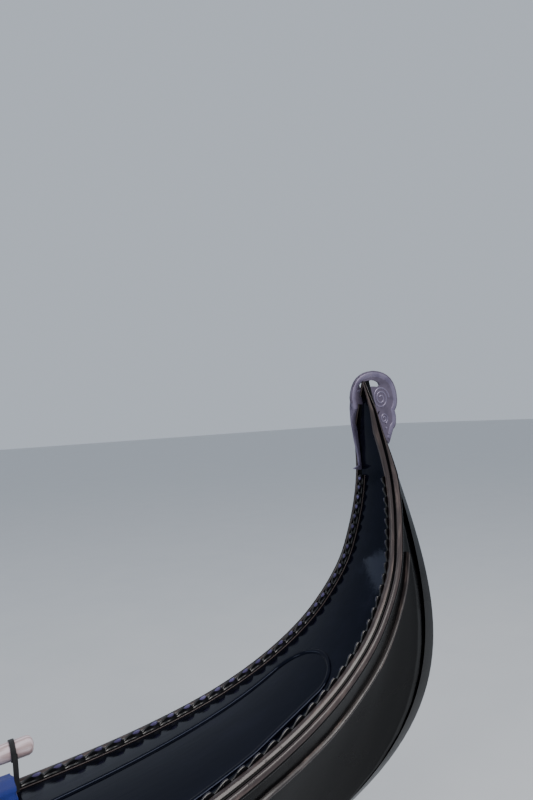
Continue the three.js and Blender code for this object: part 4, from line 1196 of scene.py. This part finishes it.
@dataclass
class Skin:
    """Smooth planks, posts and decks in place of the faceted solids, in millimetres."""

    bottom: float = 20
    heights: int = 14
    post_half: float = 24.7
    post_wing: float = 46
    post_edge: float = 17
    deck: float = 15
    camber: float = 0.035
    ledge: float = 20
    deck_bevel: float = 0.010
    crown_steps: int = 12
    aft_end: float = -1900
    fore_end: float = 2150
    tenon: float = 55
    tenon_end: float = 3
    post_steps: int = 40
    thin_from: float = 0.72
    thin_over: float = 0.28
    thin_share: float = 0.06
    thin_shift: float = 26

    def planks(self, side: Side) -> None:
        """Makes the planking of one side."""
        rings = []
        for t in stations(0, END_ROW):
            aside = Vector((0, side.value * LINES.thickness(t) / 1000, 0))
            outer = [LINES.skin(t, i / self.heights, side) for i in range(self.heights + 1)]
            rings.append(outer + [p - aside for p in reversed(outer)])
        piece = loft(f"planking_{side.word}", rings, band=True)
        stand_in(piece, f"side_{side.word}", Finish.HULL)

    def floor(self) -> None:
        """Makes the bottom planking."""
        rings = []
        for t in stations(0, END_ROW):
            right, left = LINES.chine(t, Side.STARBOARD), LINES.chine(t, Side.PORT)
            high, low = Vector((0, 0, -0.0003)), Vector((0, 0, -(self.bottom + 0.3) / 1000))
            rings.append([right + high, left + high, left + low, right + low])
        stand_in(loft("bottom_planking", rings), "bottom", Finish.HULL)

    def post(self, ends: Ends, node: str) -> None:
        """Makes one end post with a rounded outer edge.

        Args:
            ends: the end of the boat.
            node: the CAD node that it stands for.
        """
        rings = []
        for i in range(self.post_steps + 1):
            v = i / self.post_steps
            plank, edge = ends.plank.at(v), ends.edge.at(v)
            inward = (plank - edge).normalized()
            room = (plank - edge).length * 1000
            depth = self.tenon
            if v >= 0.7:
                depth = self.tenon_end + (self.tenon - self.tenon_end) * (1 - v) / 0.3
            slope = (self.post_wing - self.post_edge) / room
            profile = [
                (0, self.post_edge * 0.62),
                (1.2, self.post_edge * 0.86),
                (4, self.post_edge + slope * 3),
                (9, self.post_edge + slope * 9),
                (room - 0.3, self.post_wing),
                (room - 0.3, self.post_half),
                (room + depth, self.post_half),
            ]
            share = max(0.0, (v - self.thin_from) / self.thin_over) ** 2 if ends is STERN else 0.0
            width, shift = 1 + (self.thin_share - 1) * share, self.thin_shift * share
            ring = []
            for side in (1, -1):
                half = [
                    edge + inward * deep / 1000 + Vector((0, (side * wide * width + shift) / 1000, 0))
                    for deep, wide in profile
                ]
                ring += half[::side]
            rings.append(ring)
        stand_in(loft(node + "_rounded", rings, band=True), node, Finish.HULL)

    def deck_ring(self, t: float) -> list[Vector]:
        """A deck's section at a place: its top from starboard to port, then its underside."""
        rims, ledges, ups = [], [], []
        for side in (Side.STARBOARD, Side.PORT):
            _, out, up = LINES.edge_frame(t, side)
            thick = LINES.thickness(t)
            rims.append((LINES.sheer(t, side) - out * (thick + 1) / 1000 - up * 0.001, out))
            room = (LINES.value("sp", t) + LINES.value("ss", t)) / 2 - thick
            ledges.append(rims[-1][0] - out * max(0.2, min(self.ledge, room * 0.4)) / 1000)
            ups.append(up)
        up = (ups[0] + ups[1]).normalized()
        width = (ledges[0] - ledges[1]).length
        top = [rims[0][0]]
        for i in range(self.crown_steps + 1):
            share = i / self.crown_steps
            crown = width * self.camber * 4 * share * (1 - share)
            top.append(ledges[0].lerp(ledges[1], share) + up * crown)
        top.append(rims[1][0])
        bevel = self.deck_bevel * min(1.0, t * 2)
        under = [rim - out * bevel - up * self.deck / 1000 for rim, out in reversed(rims)]
        return top + under

    def decking(self) -> Object:
        """Makes both decks, and gives the aft one back."""
        made = []
        for name, node, start, end in (
            ("aft_decking", "aft_deck", 0, LINES.place_of(self.aft_end / 1000)),
            ("fore_decking", "foredeck", LINES.place_of(self.fore_end / 1000), END_ROW),
        ):
            made.append(loft(name, [self.deck_ring(t) for t in stations(start, end)]))
            stand_in(made[-1], node, Finish.DECK)
        return made[0]

    def build(self) -> Object:
        """Makes all of it, and gives the aft deck back."""
        for side in Side:
            self.planks(side)
        self.floor()
        self.post(STERN, "sternpost")
        self.post(BOW, "stem")
        return self.decking()


def rounded(profile: list[tuple[float, float]], steps: int = 4) -> list[tuple[float, float]]:
    """A smooth open profile through its points.

    Args:
        profile: the points.
        steps: the number of steps between two points.

    Returns:
        The finer profile.
    """
    points = [Vector(p) for p in profile]
    fine = []
    for i in range(len(points) - 1):
        before, after = points[max(0, i - 1)], points[min(len(points) - 1, i + 2)]
        a, b = points[i], points[i + 1]
        for k in range(steps):
            q = hermite(a, (b - before) / 2, b, (after - a) / 2, k / steps)
            fine.append((q.x, q.y))
    fine.append(profile[-1])
    return fine


# Size of the cap's upper bead and of its outer bead, as shares, by rows from the end of the boat.
CAP_SHARES = {
    Side.PORT: ((0, 0.22, 0.05), (0.5, 1.2, 0.12), (1, 1, 0.9), (1.5, 1, 1)),
    Side.STARBOARD: ((0, 0.3, 0.1), (2, 0.35, 0.3), (5, 0.45, 0.6), (7, 1, 1)),
}


@dataclass
class Mouldings:
    """Rounded gunwale caps and rails, and the bead on the aft deck, in millimetres."""

    gap: float = 0.3
    face: float = 2.5
    cap: Pairs = (
        (-26, 0.3), (-26, 8), (-20, 14), (-10, 15), (-3, 8), (1, 3), (6, 5), (12, 4), (16, -4),
        (16, -14), (10, -22), (2.5, -22),
    )
    rail: Pairs = ((0, -9), (9, -8), (12, -4), (13, 0), (12, 4), (9, 8), (0, 9))
    bead_section: Pairs = ((-7, -3), (-6.4, 3), (-4.4, 6), (0, 7.2), (4.4, 6), (6.4, 3), (7, -3))
    worn_faces: Pairs = ((3, 16), (24, 34))
    rail_drops: Pairs = (
        (0.5, 385), (2, 325), (3.5, 250), (4.75, 165), (6.5, 102), (8, 95),
    )

    def cap_section(self, t: float, side: Side) -> list[tuple[float, float]]:
        """The cap's rounded section at a place, as out and up from the planks' corner."""
        upper, outer = blend_rows(CAP_SHARES[side], min(t, END_ROW - t))
        sized = []
        for out, up in self.cap:
            share = upper if out < 0 else outer
            width = out * upper if out < 0 else self.face + (out - self.face) * outer
            sized.append((width, up * share if up < 0 else self.gap + (up - self.gap) * share))
        return [*rounded(sized), (self.face, self.gap)]

    def caps(self, side: Side) -> None:
        """Makes one side's gunwale cap."""
        rings = []
        for t in stations(0, END_ROW):
            _, out, up = LINES.edge_frame(t, side)
            corner = LINES.sheer(t, side)
            rings.append([beside_corner(corner, out, up, spot) for spot in self.cap_section(t, side)])
        piece = loft(f"cap_{side.word}", rings)
        piece.data.materials.append(Finish.MOULDING.material())
        piece.data.materials.append(Finish.HULL.material())
        count = len(rings[0])
        for face in piece.data.polygons:
            around = face.index % count
            worn = any(first <= around < last for first, last in self.worn_faces)
            face.material_index = 0 if worn else 1
        stand_in(piece, f"gunwale_{side.word}", Finish.MOULDING, angle=50)

    def rails(self, side: Side) -> None:
        """Makes one side's thin rail."""
        rings = []
        for t in stations(0.5, END_ROW - 4):
            height = (LINES.sheer(t, side) - LINES.chine(t, side)).length * 1000
            v = 1 - blend_rows(self.rail_drops, t)[0] / height
            point = LINES.skin(t, v, side)
            above = (LINES.skin(t, v + 0.02, side) - point).normalized()
            ahead = (LINES.skin(t + 0.02, v, side) - LINES.skin(t - 0.02, v, side)).normalized()
            out = above.cross(ahead).normalized()
            if out.y * side.value < 0:
                out = -out
            rings.append([beside_corner(point, out, above, spot) for spot in self.rail])
        stand_in(loft(f"rail_{side.word}", rings), f"side_rail_{side.word}", Finish.RAIL, angle=50)

    def bead(self, deck: BVHTree) -> None:
        """Makes the U-shaped bead on the aft deck.

        Args:
            deck: the aft deck's surface.
        """
        centre, half, end, front, step, bends = 40, 108, -4745, -2100, 60, 32
        port_start, port_inset = -4500, 66
        line = [(x, centre - half) for x in range(front, end, -step)]
        for i in range(bends + 1):
            turn = -math.pi / 2 - math.pi * i / bends
            line.append((end + half * math.cos(turn), centre + half * math.sin(turn)))
        for x in range(port_start, front + 1, step):
            line.append((x, LINES.value("sp", LINES.place_of(x / 1000)) - port_inset))
        rings = []
        for i, (x, y) in enumerate(line):
            a, b = line[max(0, i - 1)], line[min(len(line) - 1, i + 1)]
            along = Vector((b[0] - a[0], b[1] - a[1])).normalized()
            ring = []
            for across, lift in self.bead_section:
                spot = Vector(((x - along.y * across) / 1000, (y + along.x * across) / 1000, 3))
                hit = deck.ray_cast(spot, DOWN)[0]
                ring.append(hit + Vector((0, 0, lift / 1000)))
            rings.append(ring)
        stand_in(loft("deck_bead_rounded", rings), "deck_bead", Finish.DECK, angle=60)

    def build(self, deck: BVHTree) -> None:
        """Makes every moulding."""
        for side in Side:
            self.caps(side)
            self.rails(side)
        self.bead(deck)


@dataclass
class CarvedBoards:
    """Carved boards along each deck's edge, in millimetres, with their facets and beads in metres;
    the facets are coloured pale as painted highlights.
    """

    outer: float = -26.6
    inner: float = -36
    high: float = 23
    low: float = 12
    cuts: int = 6
    bead_out: float = -41.5
    bead_radius: float = 0.0022
    lean: float = 4.6
    facet_share: float = 0.4
    facet: tuple[float, float] = (0.010, 0.005)
    board_rows: tuple[tuple[str, float, float], ...] = (("aft", 1, 11), ("fore", 16.5, END_ROW - 2))
    pitches: Pairs = (
        (1, 34), (3, 42), (4.5, 54), (8, 62), (16, 62), (20, 50), (22, 36),
    )

    def cut_places(self, start: float, end: float, side: Side) -> list[tuple[float, float]]:
        """Where the carving's cuts fall.

        Args:
            start: the first place in the hull table.
            end: the last place.
            side: which side.

        Returns:
            Places, each with its share of a lobe's length.
        """
        found = [(start, 0.0)]
        phase, count = 0.0, 0
        steps = int((end - start) * 300)
        before = LINES.sheer(start, side)
        for i in range(1, steps + 1):
            t = start + (end - start) * i / steps
            here = LINES.sheer(t, side)
            phase += (here - before).length * 1000 / blend_rows(self.pitches, t)[0]
            before = here
            if phase * self.cuts >= count + 1:
                count += 1
                found.append((t, (count % self.cuts) / self.cuts))
        return found

    def board(self, side: Side, place: str, start: float, end: float) -> list[Spot]:
        """Makes one board.

        Args:
            side: which side.
            place: aft or fore.
            start: the first place in the hull table.
            end: the last place.

        Returns:
            Spots for the facets on its lobes.
        """
        rings, spots = [], []
        for t, share in self.cut_places(start, end, side):
            along, out, up = LINES.edge_frame(t, side)
            corner = LINES.sheer(t, side)
            top = self.low + (self.high - self.low) * math.sin(math.pi * share**0.6)
            face = self.inner + self.lean * share
            section = (
                (self.outer, -3), (self.outer, top - 1.6), (self.outer - 1.4, top), (face + 2.4, top),
                (face, top - 2.6), (face, 6.5), (self.inner, 4), (self.inner, -3),
            )
            rings.append([beside_corner(corner, out, up, spot) for spot in section])
            # One facet on each lobe, turned inboard and up, carries the painted highlight.
            if share == 2 / self.cuts:
                pitch = blend_rows(self.pitches, t)[0] / 1000
                where = beside_corner(corner, out, up, (face + 0.6, top - 5))
                size = Vector((pitch * self.facet_share, *self.facet))
                spots.append(Spot(where, along, (up * 0.35 - out).normalized(), size))
        node = f"{place}_trim_{side.word}"
        stand_in(loft(f"carved_{node}", rings), node, Finish.CARVING, angle=25)
        return spots

    def beads(self, side: Side, start: float, end: float, work: BMesh) -> None:
        """Adds the thin bead along one board's foot."""
        path = [LINES.beside(t, side, self.bead_out, 0.6) for t in stations(start, end, 5)]
        bar(work, path, self.bead_radius, UP, sides=6)

    def build(self, form: Object) -> None:
        """Makes the four boards, their facets in a painted highlight colour, and their beads."""
        facets = Row("facet_row", form, Finish.LEAVES)
        work = bmesh.new()
        spots = []
        for side in Side:
            for place, start, end in self.board_rows:
                spots += self.board(side, place, start, end)
                self.beads(side, start, end, work)
        finish_piece(facets.bake("carved_facets", spots), "hull", Finish.LEAVES, angle=60)
        finish_piece(new_object("foot_beads", work), "hull", Finish.MOULDING, angle=80)


def quadratic(
    a: tuple[float, float], b: tuple[float, float], c: tuple[float, float], steps: int = 8
) -> list[Vector]:
    """Points on a quadratic curve in the centre plane, in metres, without its last."""
    found = []
    for i in range(steps):
        f = i / steps
        x, z = ((1 - f) ** 2 * p + 2 * f * (1 - f) * q + f * f * r for p, q, r in zip(a, b, c))
        found.append(Vector((x, 0, z)) / 1000)
    return found


@dataclass
class Irons:
    """The stern iron in metres, with its strip and opening in millimetres, and both irons' rivets."""

    half: float = 0.004
    edge_bevel: float = 0.0008
    strip_half: float = 0.0036
    strip_bevel: float = 0.0012
    head_middle: Triple = (-5.196, 0, 1.905)
    band_start: Triple = (-5.099, 0, 1.886)
    band: float = 0.0125
    band_flat: float = 0.46
    scrolls: tuple[tuple[Triple, float, float, float], ...] = (
        ((-5.221, 0, 1.919), 0.007, 0.040, 2.4),
        ((-5.231, 0, 1.846), 0.005, 0.019, 1.6),
    )
    scroll_steps: int = 72
    scroll_start: float = 0.6
    scroll_bar: float = 0.0030
    slots: Pairs = ((-5.184, 1.899), (-5.204, 1.866))
    slot_bar: float = 0.0022
    slot_proud: float = 0.0002
    rivet: float = 0.010
    strip: tuple[Triple, ...] = (
        (0.94, 24, 12), (0.915, 24, 40), (0.885, 23, 12), (0.75, 20, 14), (0.6, 17, 20),
        (0.4, 16, 25), (0.25, 19, 26), (0.15, 32, 30), (0.08, 46, 34),
    )
    opening: Pairs = (
        (-5167, 1980), (-5175, 1985), (-5188, 1985), (-5200, 1983), (-5214, 1977), (-5221, 1966),
        (-5215, 1961), (-5207, 1959), (-5194, 1961), (-5180, 1961), (-5171, 1961), (-5165, 1969),
    )

    def head_edge(self) -> list[Vector]:
        """The head's outline, from its foot over the top to the back."""
        curves = (
            ((-5083, 1906), (-5079, 1915), (-5079, 1925)),
            ((-5079, 1925), (-5092, 2012), (-5190, 2017)),
            ((-5190, 2017), (-5303, 2014), (-5303, 1913)),
            ((-5303, 1913), (-5302, 1890), (-5287, 1872)),
            ((-5287, 1872), (-5294, 1850), (-5290, 1832)),
            ((-5290, 1832), (-5288, 1814), (-5274, 1806)),
            ((-5274, 1806), (-5264, 1786), (-5250, 1756)),
        )
        return [p for curve in curves for p in quadratic(*curve)]

    def plate(self) -> Object:
        """The stern iron's flat head with its opening."""
        curve = bpy.data.curves.new("stern_plate", "CURVE")
        curve.dimensions, curve.fill_mode = "2D", "BOTH"
        curve.extrude = self.half - self.edge_bevel
        curve.bevel_depth, curve.bevel_resolution = self.edge_bevel, 1
        outline = self.head_edge() + [Vector((-5.248, 0, 1.756))]
        for v in (0.89, 0.92, 0.95, 0.98, 1.0):
            edge = STERN.edge.at(v)
            outline.append(edge + (STERN.plank.at(v) - edge).normalized() * 0.003)
        outline += [Vector(p) / 1000 for p in ((-5116, 0, 1983), (-5128, 0, 1945), (-5136, 0, 1900))]
        for points in (outline, [Vector((x, 0, z)) / 1000 for x, z in self.opening]):
            spline = curve.splines.new("POLY")
            spline.points.add(len(points) - 1)
            for spot, point in zip(spline.points, points):
                spot.co = (point.x, point.z, 0, 1)
            spline.use_cyclic_u = True
        drawn = placed("stern_plate_curve", curve)
        graph = bpy.context.evaluated_depsgraph_get()
        mesh = bpy.data.meshes.new_from_object(drawn.evaluated_get(graph))
        bpy.data.objects.remove(drawn)
        for vert in mesh.vertices:
            vert.co = (vert.co.x, -vert.co.z, vert.co.y)
        return placed("stern_iron_plate", mesh)

    def ribbon(self, work: BMesh) -> None:
        """Adds the strip that runs down from the head along the deck's starboard edge."""
        table = self.strip[::-1]
        even = (0.08 + 0.035 * i for i in range(23))
        places = sorted({0.94, 0.915, 0.9, 0.885, *even}, reverse=True)
        rings = []
        for t in places:
            inset, deep = blend_rows(table, t)
            top = SQUARE_LINES.beside(t, Side.STARBOARD, -inset, deep)
            foot = SQUARE_LINES.beside(t, Side.STARBOARD, 4 - inset, -1)
            drawn = LINES.beside(t, Side.STARBOARD, 2, 1)
            foot = foot.lerp(drawn, max(0.0, min(1.0, (0.5 - t) / 0.2)))
            along = LINES.edge_frame(t, Side.STARBOARD)[0]
            down = (foot - top).normalized()
            thick = down.cross(along).normalized() * self.strip_half
            bevel = down * self.strip_bevel
            edge = [top + thick, foot + thick, foot - thick, top - thick]
            rings.append([top + thick * 0.5 - bevel, *edge, top - thick * 0.5 - bevel])
        swept(work, rings)

    def stern(self) -> None:
        """The stern iron: its plate, the band round it, two scrolls and two slots; the band and
        scrolls take the lighter iron of painted highlight, and each slot is a black strip of painted
        shade.
        """
        stand_in(self.plate(), "stern_iron", Finish.IRON, angle=50)
        work = bmesh.new()
        across = Vector((0, 1, 0))
        middle = Vector(self.head_middle)
        path = [p + (middle - p).normalized() * self.band for p in self.head_edge()[8:]]
        start = Vector(self.band_start)
        path = [start, start + (path[0] - start) * 0.5] + path
        bar(work, path, self.band, across, self.band_flat, sides=12)
        for (centre, inner, outer, turns), side in product(self.scrolls, (-1, 1)):
            spiral = []
            for i in range(self.scroll_steps + 1):
                share = i / self.scroll_steps
                turn = self.scroll_start + share * turns * 2 * math.pi
                radius = inner + (outer - inner) * share
                spot = Vector((math.cos(turn) * radius, side * self.half, math.sin(turn) * radius))
                spiral.append(Vector(centre) + spot)
            bar(work, spiral, self.scroll_bar, across, 0.7)
        self.ribbon(work)
        # The band, scrolls and strip take the lighter iron, a painted highlight.
        finish_piece(new_object("stern_iron_band", work), "hull", Finish.BRIGHT_IRON, angle=60)
        # Each slot is drawn, not cut, as a black strip on both faces: painted shade.
        slots = bmesh.new()
        for (x, z), side in product(self.slots, (-1, 1)):
            spot = Vector((x, side * (self.half + self.slot_proud), z))
            line = [spot + Vector((d * 0.7, 0, -d)) for d in (-0.007, -0.004, 0.004, 0.007)]
            bar(slots, line, self.slot_bar, across, 0.3)
        finish_piece(new_object("stern_iron_slots", slots), "hull", Finish.HULL, angle=60)

    def rivets(self, form: Object) -> None:
        """Rivet heads on both irons, each laid on the plate where it is, in the lighter iron of
        painted highlight.
        """
        row = Row("rivet_row", form, Finish.BRIGHT_IRON)
        stern = surface_of(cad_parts["stern_iron"])
        bow = surface_of(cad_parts["bow_iron"])
        spots = []
        places = [(stern, -5.250, 1.790), (stern, -5.238, 1.812)]
        places += [(bow, 5.060 + 0.016 * i, 0.66 + 0.11 * i) for i in range(8)]
        size = Vector((self.rivet, self.rivet, self.rivet))
        for (tree, x, z), side in product(places, (-1, 1)):
            hit = tree.ray_cast(Vector((x, side * 0.3, z)), Vector((0, -side, 0)))[0]
            if hit is not None and abs(hit.y) < 0.02:
                spots.append(Spot(hit, Vector((1, 0, 0)), Vector((0, side, 0)), size))
        finish_piece(row.bake("iron_rivets", spots), "hull", Finish.BRIGHT_IRON, angle=60)

    def build(self, form: Object) -> None:
        """Makes all of it."""
        self.stern()
        self.rivets(form)


@dataclass
class Fittings:
    """Mouldings and knobs on the locker doors, and tacks on the seat, in metres."""

    inset: float = 0.034
    rim: float = 0.0035
    knob: Triple = (0.024, 0.024, 0.03)
    knob_inset: float = 0.018
    tack: float = 0.011
    tack_pitch: float = 0.035

    def door(self, node: str, body: str, facing: int, form: Object) -> None:
        """Makes one door's raised moulding and its knob.

        Args:
            node: the door.
            body: the body that it swings with.
            facing: 1 where the cockpit lies on its side towards the bow, else -1.
            form: the knob's form.
        """
        low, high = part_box(node)
        tree = surface_of(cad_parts[node])

        def on_face(y: float, z: float) -> Vector:
            """A point on the door's face towards the cockpit."""
            return tree.ray_cast(Vector((low.x + facing * 0.5, y, z)), Vector((-facing, 0, 0)))[0]

        ring = (
            (low.y + self.inset, low.z + self.inset),
            (high.y - self.inset, low.z + self.inset),
            (high.y - self.inset, high.z - self.inset),
            (low.y + self.inset, high.z - self.inset),
        )
        work = bmesh.new()
        for (y1, z1), (y2, z2) in zip(ring, ring[1:] + ring[:1]):
            path = [on_face(y1 + (y2 - y1) * f, z1 + (z2 - z1) * f) for f in (0.0, 0.5, 1.0)]
            bar(work, path, self.rim, Vector((1, 0, 0)), sides=10)
        finish_piece(new_object(node + "_moulding", work), body, Finish.DECK, angle=60)
        middle = (low.z + high.z) / 2
        where = on_face(low.y + self.knob_inset, middle)
        knob = Spot(where, Vector((0, 1, 0)), Vector((facing, 0, 0)), Vector(self.knob))
        row = Row(node + "_knob_row", form, Finish.BRASS)
        finish_piece(row.bake(node + "_knob", [knob]), body, Finish.BRASS, angle=60)

    def tacks(self, form: Object) -> None:
        """Makes a row of brass tacks along the front of the seat."""
        low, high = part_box("seat_base")
        tree = surface_of(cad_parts["seat_base"])
        spots = []
        count = int((high.y - low.y - 0.03) / self.tack_pitch)
        for i in range(count + 1):
            y = (low.y + high.y) / 2 + (i - count / 2) * self.tack_pitch
            hit = tree.ray_cast(Vector((high.x + 0.3, y, high.z - 0.016)), Vector((-1, 0, 0)))[0]
            if hit is not None:
                size = Vector((self.tack, self.tack, self.tack))
                spots.append(Spot(hit, Vector((0, 1, 0)), Vector((1, 0, 0)), size))
        row = Row("tack_row", form, Finish.BRASS)
        finish_piece(row.bake("seat_tacks", spots), "hull", Finish.BRASS, angle=60)

    def build(self, form: Object) -> None:
        """Makes every fitting."""
        self.door("aft_locker_door", "aft_door", 1, form)
        self.door("fore_locker_door", "fore_door", -1, form)
        self.tacks(form)


@dataclass
class Upholstery:
    """Stuffed cushions in place of the plain solids, in metres."""

    margin: float = 0.003
    pull: float = 0.014
    clearance: float = 0.002
    subdivisions: int = 2

    def skin_point(
        self, box: tuple[Vector, Vector], share: list[float], thin: int, buttons: int
    ) -> list[float]:
        """Where one point of a cushion's cover lies.

        Args:
            box: the lowest and highest corners of the CAD solid.
            share: the point's place between them, along each axis.
            thin: the axis of the cushion's thickness.
            buttons: how many rows of tufts its broad face has.

        Returns:
            The point.
        """
        low, high = box
        size = high - low
        broad = [k for k in range(3) if k != thin]
        u, v = (abs(2 * share[a] - 1) for a in broad)
        w = 2 * share[thin] - 1
        round_off = (1 - u**6) * (1 - v**6)
        crown = (1 - u**2.6) * (1 - v**2.6)
        point = [0.0, 0.0, 0.0]
        for a, other in zip(broad, (v, u)):
            edge = 2 * share[a] - 1
            half = size[a] / 2 - self.margin - self.pull * abs(w) ** 3
            point[a] = (low[a] + high[a]) / 2 + edge * half * (1 - 0.012 * other**6)
        tuft = 0.0
        if buttons:
            wave_a, wave_b = (math.cos(math.pi * (share[a] * (buttons + 1))) for a in broad)
            tuft = (wave_a * wave_b) ** 6 * crown
        rise = 0.62 + 0.38 * crown - 0.30 * tuft
        swell = w * (size[thin] / 2) * (0.5 + 0.5 * round_off) * rise
        point[thin] = (low[thin] + high[thin]) / 2 + swell
        if w < -0.99 and thin == 2:
            point[thin] = low[thin] + 0.001 + 0.010 * (1 - round_off)
        return point

    def cushion(self, node: str, cells: tuple[int, int, int], buttons: int) -> None:
        """A crowned cushion in the space of a CAD solid.

        Args:
            node: the CAD solid that it stands for.
            cells: the subdivisions along each axis.
            buttons: how many rows of tufts its broad face has.
        """
        low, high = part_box(node)
        size = high - low
        thin = min(range(3), key=lambda k: size[k])
        work = bmesh.new()
        grid: dict[tuple[int, int, int], BMVert] = {}
        for index in product(*(range(c + 1) for c in cells)):
            if any(n in (0, c) for n, c in zip(index, cells)):
                share = [n / c for n, c in zip(index, cells)]
                grid[index] = work.verts.new(self.skin_point((low, high), share, thin, buttons))
        for axis in range(3):
            a, b = (n for n in range(3) if n != axis)
            for end, p, q in product((0, cells[axis]), range(cells[a]), range(cells[b])):
                corner = []
                for dp, dq in ((0, 0), (1, 0), (1, 1), (0, 1)):
                    index = [0, 0, 0]
                    index[axis], index[a], index[b] = end, p + dp, q + dq
                    corner.append(grid[tuple(index)])
                work.faces.new(corner)
        outline = surface_of(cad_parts[node])
        for vert in work.verts:
            near, normal, _, _ = outline.find_nearest(vert.co)
            if (vert.co - near).dot(normal) > 0:
                vert.co = near - normal * self.clearance
        piece = new_object(node + "_stuffed", work)
        smooth = piece.modifiers.new("smooth", "SUBSURF")
        smooth.levels = smooth.render_levels = self.subdivisions
        evaluated(piece)
        finish_piece(piece, "hull", Finish.RED, angle=70)
        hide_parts(node)

    def build(self) -> None:
        """Makes every cushion."""
        self.cushion("seat_cushion", (18, 22, 4), 3)
        self.cushion("seat_back_cushion", (4, 22, 14), 3)
        self.cushion("stool_cushion_port", (12, 8, 4), 1)
        self.cushion("stool_cushion_starboard", (12, 8, 4), 1)


@dataclass
class Stowage:
    """The folded cover, the oar on it and the strap round both."""

    cover_voxel: float = 0.007
    cover_slope: float = 0.165
    folds: float = 190
    fold_depth: float = 0.0048
    cover_inset: float = 0.006
    oar_start: Triple = (-4.035, -0.240, 1.000)
    oar_end: Triple = (0.130, -0.555, 0.6742)
    oar_sides: int = 28
    oar_length: int = 4180
    oar_table: tuple[Triple, ...] = (
        (0, 14, 14), (3, 34, 34), (8, 46, 46), (16, 52, 52), (120, 50, 50), (1600, 50, 50),
        (2500, 50, 48), (2900, 70, 34), (3400, 120, 22), (4000, 150, 14), (4180, 140, 10),
    )
    strap_centre: Triple = (-3.979, -0.2442, 0.9956)
    strap_along: Triple = (4.165, -0.315, -0.3258)
    strap_foot: Triple = (-3.979, -0.209, 2)
    strap_half: float = 0.007
    strap_radii: tuple[float, float] = (0.0262, 0.0298)
    strap_sides: int = 40

    def cover(self) -> None:
        """Folds of blue cloth in the space of the plain solid."""
        solid = copy_of_node("cover", "cover_folded")
        fine = solid.modifiers.new("fine", "REMESH")
        fine.mode, fine.voxel_size = "VOXEL", self.cover_voxel
        evaluated(solid)
        mesh = solid.data
        low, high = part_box("cover")
        shifts = []
        for vert, turned in ((v, v.normal.copy()) for v in mesh.vertices):
            x, y, z = vert.co
            share = (x - low.x) / (high.x - low.x)
            floor = low.z + (self.cover_slope * (1 - share) if share < 1 else 0)
            wander = noise.noise(Vector((x * 2.5, y * 6, 0.3)))
            fold = math.sin((z - floor) * self.folds + 2.2 * wander)
            side = 1 - abs(turned.z)
            lump = noise.noise(Vector((x * 7, y * 11, z * 9))) * 0.006
            crease = noise.noise(Vector((x * 16, y * 30, z * 22))) * 0.0028
            swell = -self.cover_inset + self.fold_depth * fold * side + lump * 0.7 + crease
            shifts.append(turned * (swell - 0.002))
        for vert, shift in zip(mesh.vertices, shifts):
            if shift.dot(vert.normal) > 0:
                shift = shift * 0.15
            vert.co += shift
        relax = solid.modifiers.new("relax", "SMOOTH")
        relax.factor, relax.iterations = 0.5, 2
        evaluated(solid)
        finish_piece(solid, "hull", Finish.BLUE, angle=80)
        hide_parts("cover")

    def oar(self) -> None:
        """The oar, turned round from its loom to its blade."""
        start, end = Vector(self.oar_start), Vector(self.oar_end)
        along = (end - start).normalized()
        side = along.cross(UP).normalized()
        top = side.cross(along)
        places = [0, 1.5, 3, 5, 8, 12, 16, 40, 80, 120, *range(200, 2500, 100)]
        places += [*range(2500, self.oar_length + 1, 60), self.oar_length]
        turns = [2 * math.pi * k / self.oar_sides for k in range(self.oar_sides)]
        rings = []
        for at in places:
            wide, tall = blend_rows(self.oar_table, at)
            centre, half, rise = start + along * at / 1000, side * wide / 2000, top * tall / 2000
            rings.append([centre + half * math.cos(a) + rise * math.sin(a) for a in turns])
        stand_in(loft("oar_turned", rings), "oar", Finish.OAR, angle=40)

    def strap(self, deck: BVHTree) -> None:
        """The webbing strap round the oar's loom, made fast on the deck.

        Args:
            deck: the aft deck's surface.
        """
        centre, along = Vector(self.strap_centre), Vector(self.strap_along).normalized()
        side = along.cross(UP).normalized()
        top = side.cross(along)
        work = bmesh.new()
        half, (inner, outer) = self.strap_half, self.strap_radii
        section = ((inner, -half), (outer, -half), (outer, half), (inner, half))
        loops = []
        for k in range(self.strap_sides):
            turn = 2 * math.pi * k / self.strap_sides
            ray = side * math.cos(turn) + top * math.sin(turn)
            points = [centre + ray * radius + along * reach for radius, reach in section]
            loops.append([work.verts.new(p) for p in points])
        for a, b in zip(loops, loops[1:] + loops[:1]):
            for i in range(4):
                work.faces.new((a[i], a[(i + 1) % 4], b[(i + 1) % 4], b[i]))
        foot = deck.ray_cast(Vector(self.strap_foot), DOWN)[0]
        head = centre + Vector((0, 0.028, 0))
        rings = []
        for i in range(9):
            f = i / 8
            spot = head.lerp(foot, f) + Vector((0, 0.004 * math.sin(math.pi * f), -0.001 * f))
            thick = 0.0018 + 0.002 * max(0, f - 0.85) / 0.15
            corners = ((-half, -thick), (-half, thick), (half, thick), (half, -thick))
            rings.append([spot + Vector((*corner, 0)) for corner in corners])
        swept(work, rings)
        stand_in(new_object("strap_webbing", work), "strap", Finish.STRAP, angle=40)

    def build(self, deck: BVHTree) -> None:
        """Makes the stowed things."""
        self.cover()
        self.oar()
        self.strap(deck)


@dataclass
class Carved:
    """The oarlock, carved round from its plain solid."""

    voxel: float = 0.005

    def build(self) -> None:
        """Makes the carved oarlock."""
        piece = copy_of_node("oarlock", "oarlock_carved")
        mesh = piece.modifiers.new("fine", "REMESH")
        mesh.mode, mesh.voxel_size = "VOXEL", self.voxel
        soft = piece.modifiers.new("soft", "SMOOTH")
        soft.factor, soft.iterations = 0.5, 14
        evaluated(piece)
        finish_piece(piece, "oarlock", Finish.WALNUT, angle=80)
        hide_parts("oarlock")


def main() -> None:
    """Builds every part in order."""
    studio = Studio()
    studio.camera()
    studio.floor()
    studio.lights()
    Joinery().dress()
    deck = surface_of(Skin().build())
    Mouldings().build(deck)
    CarvedBoards().build(leaf_form())
    studs = stud_form()
    Irons().build(studs)
    Fittings().build(studs)
    Upholstery().build()
    Stowage().build(deck)
    Carved().build()


if __name__ == "__main__":
    main()
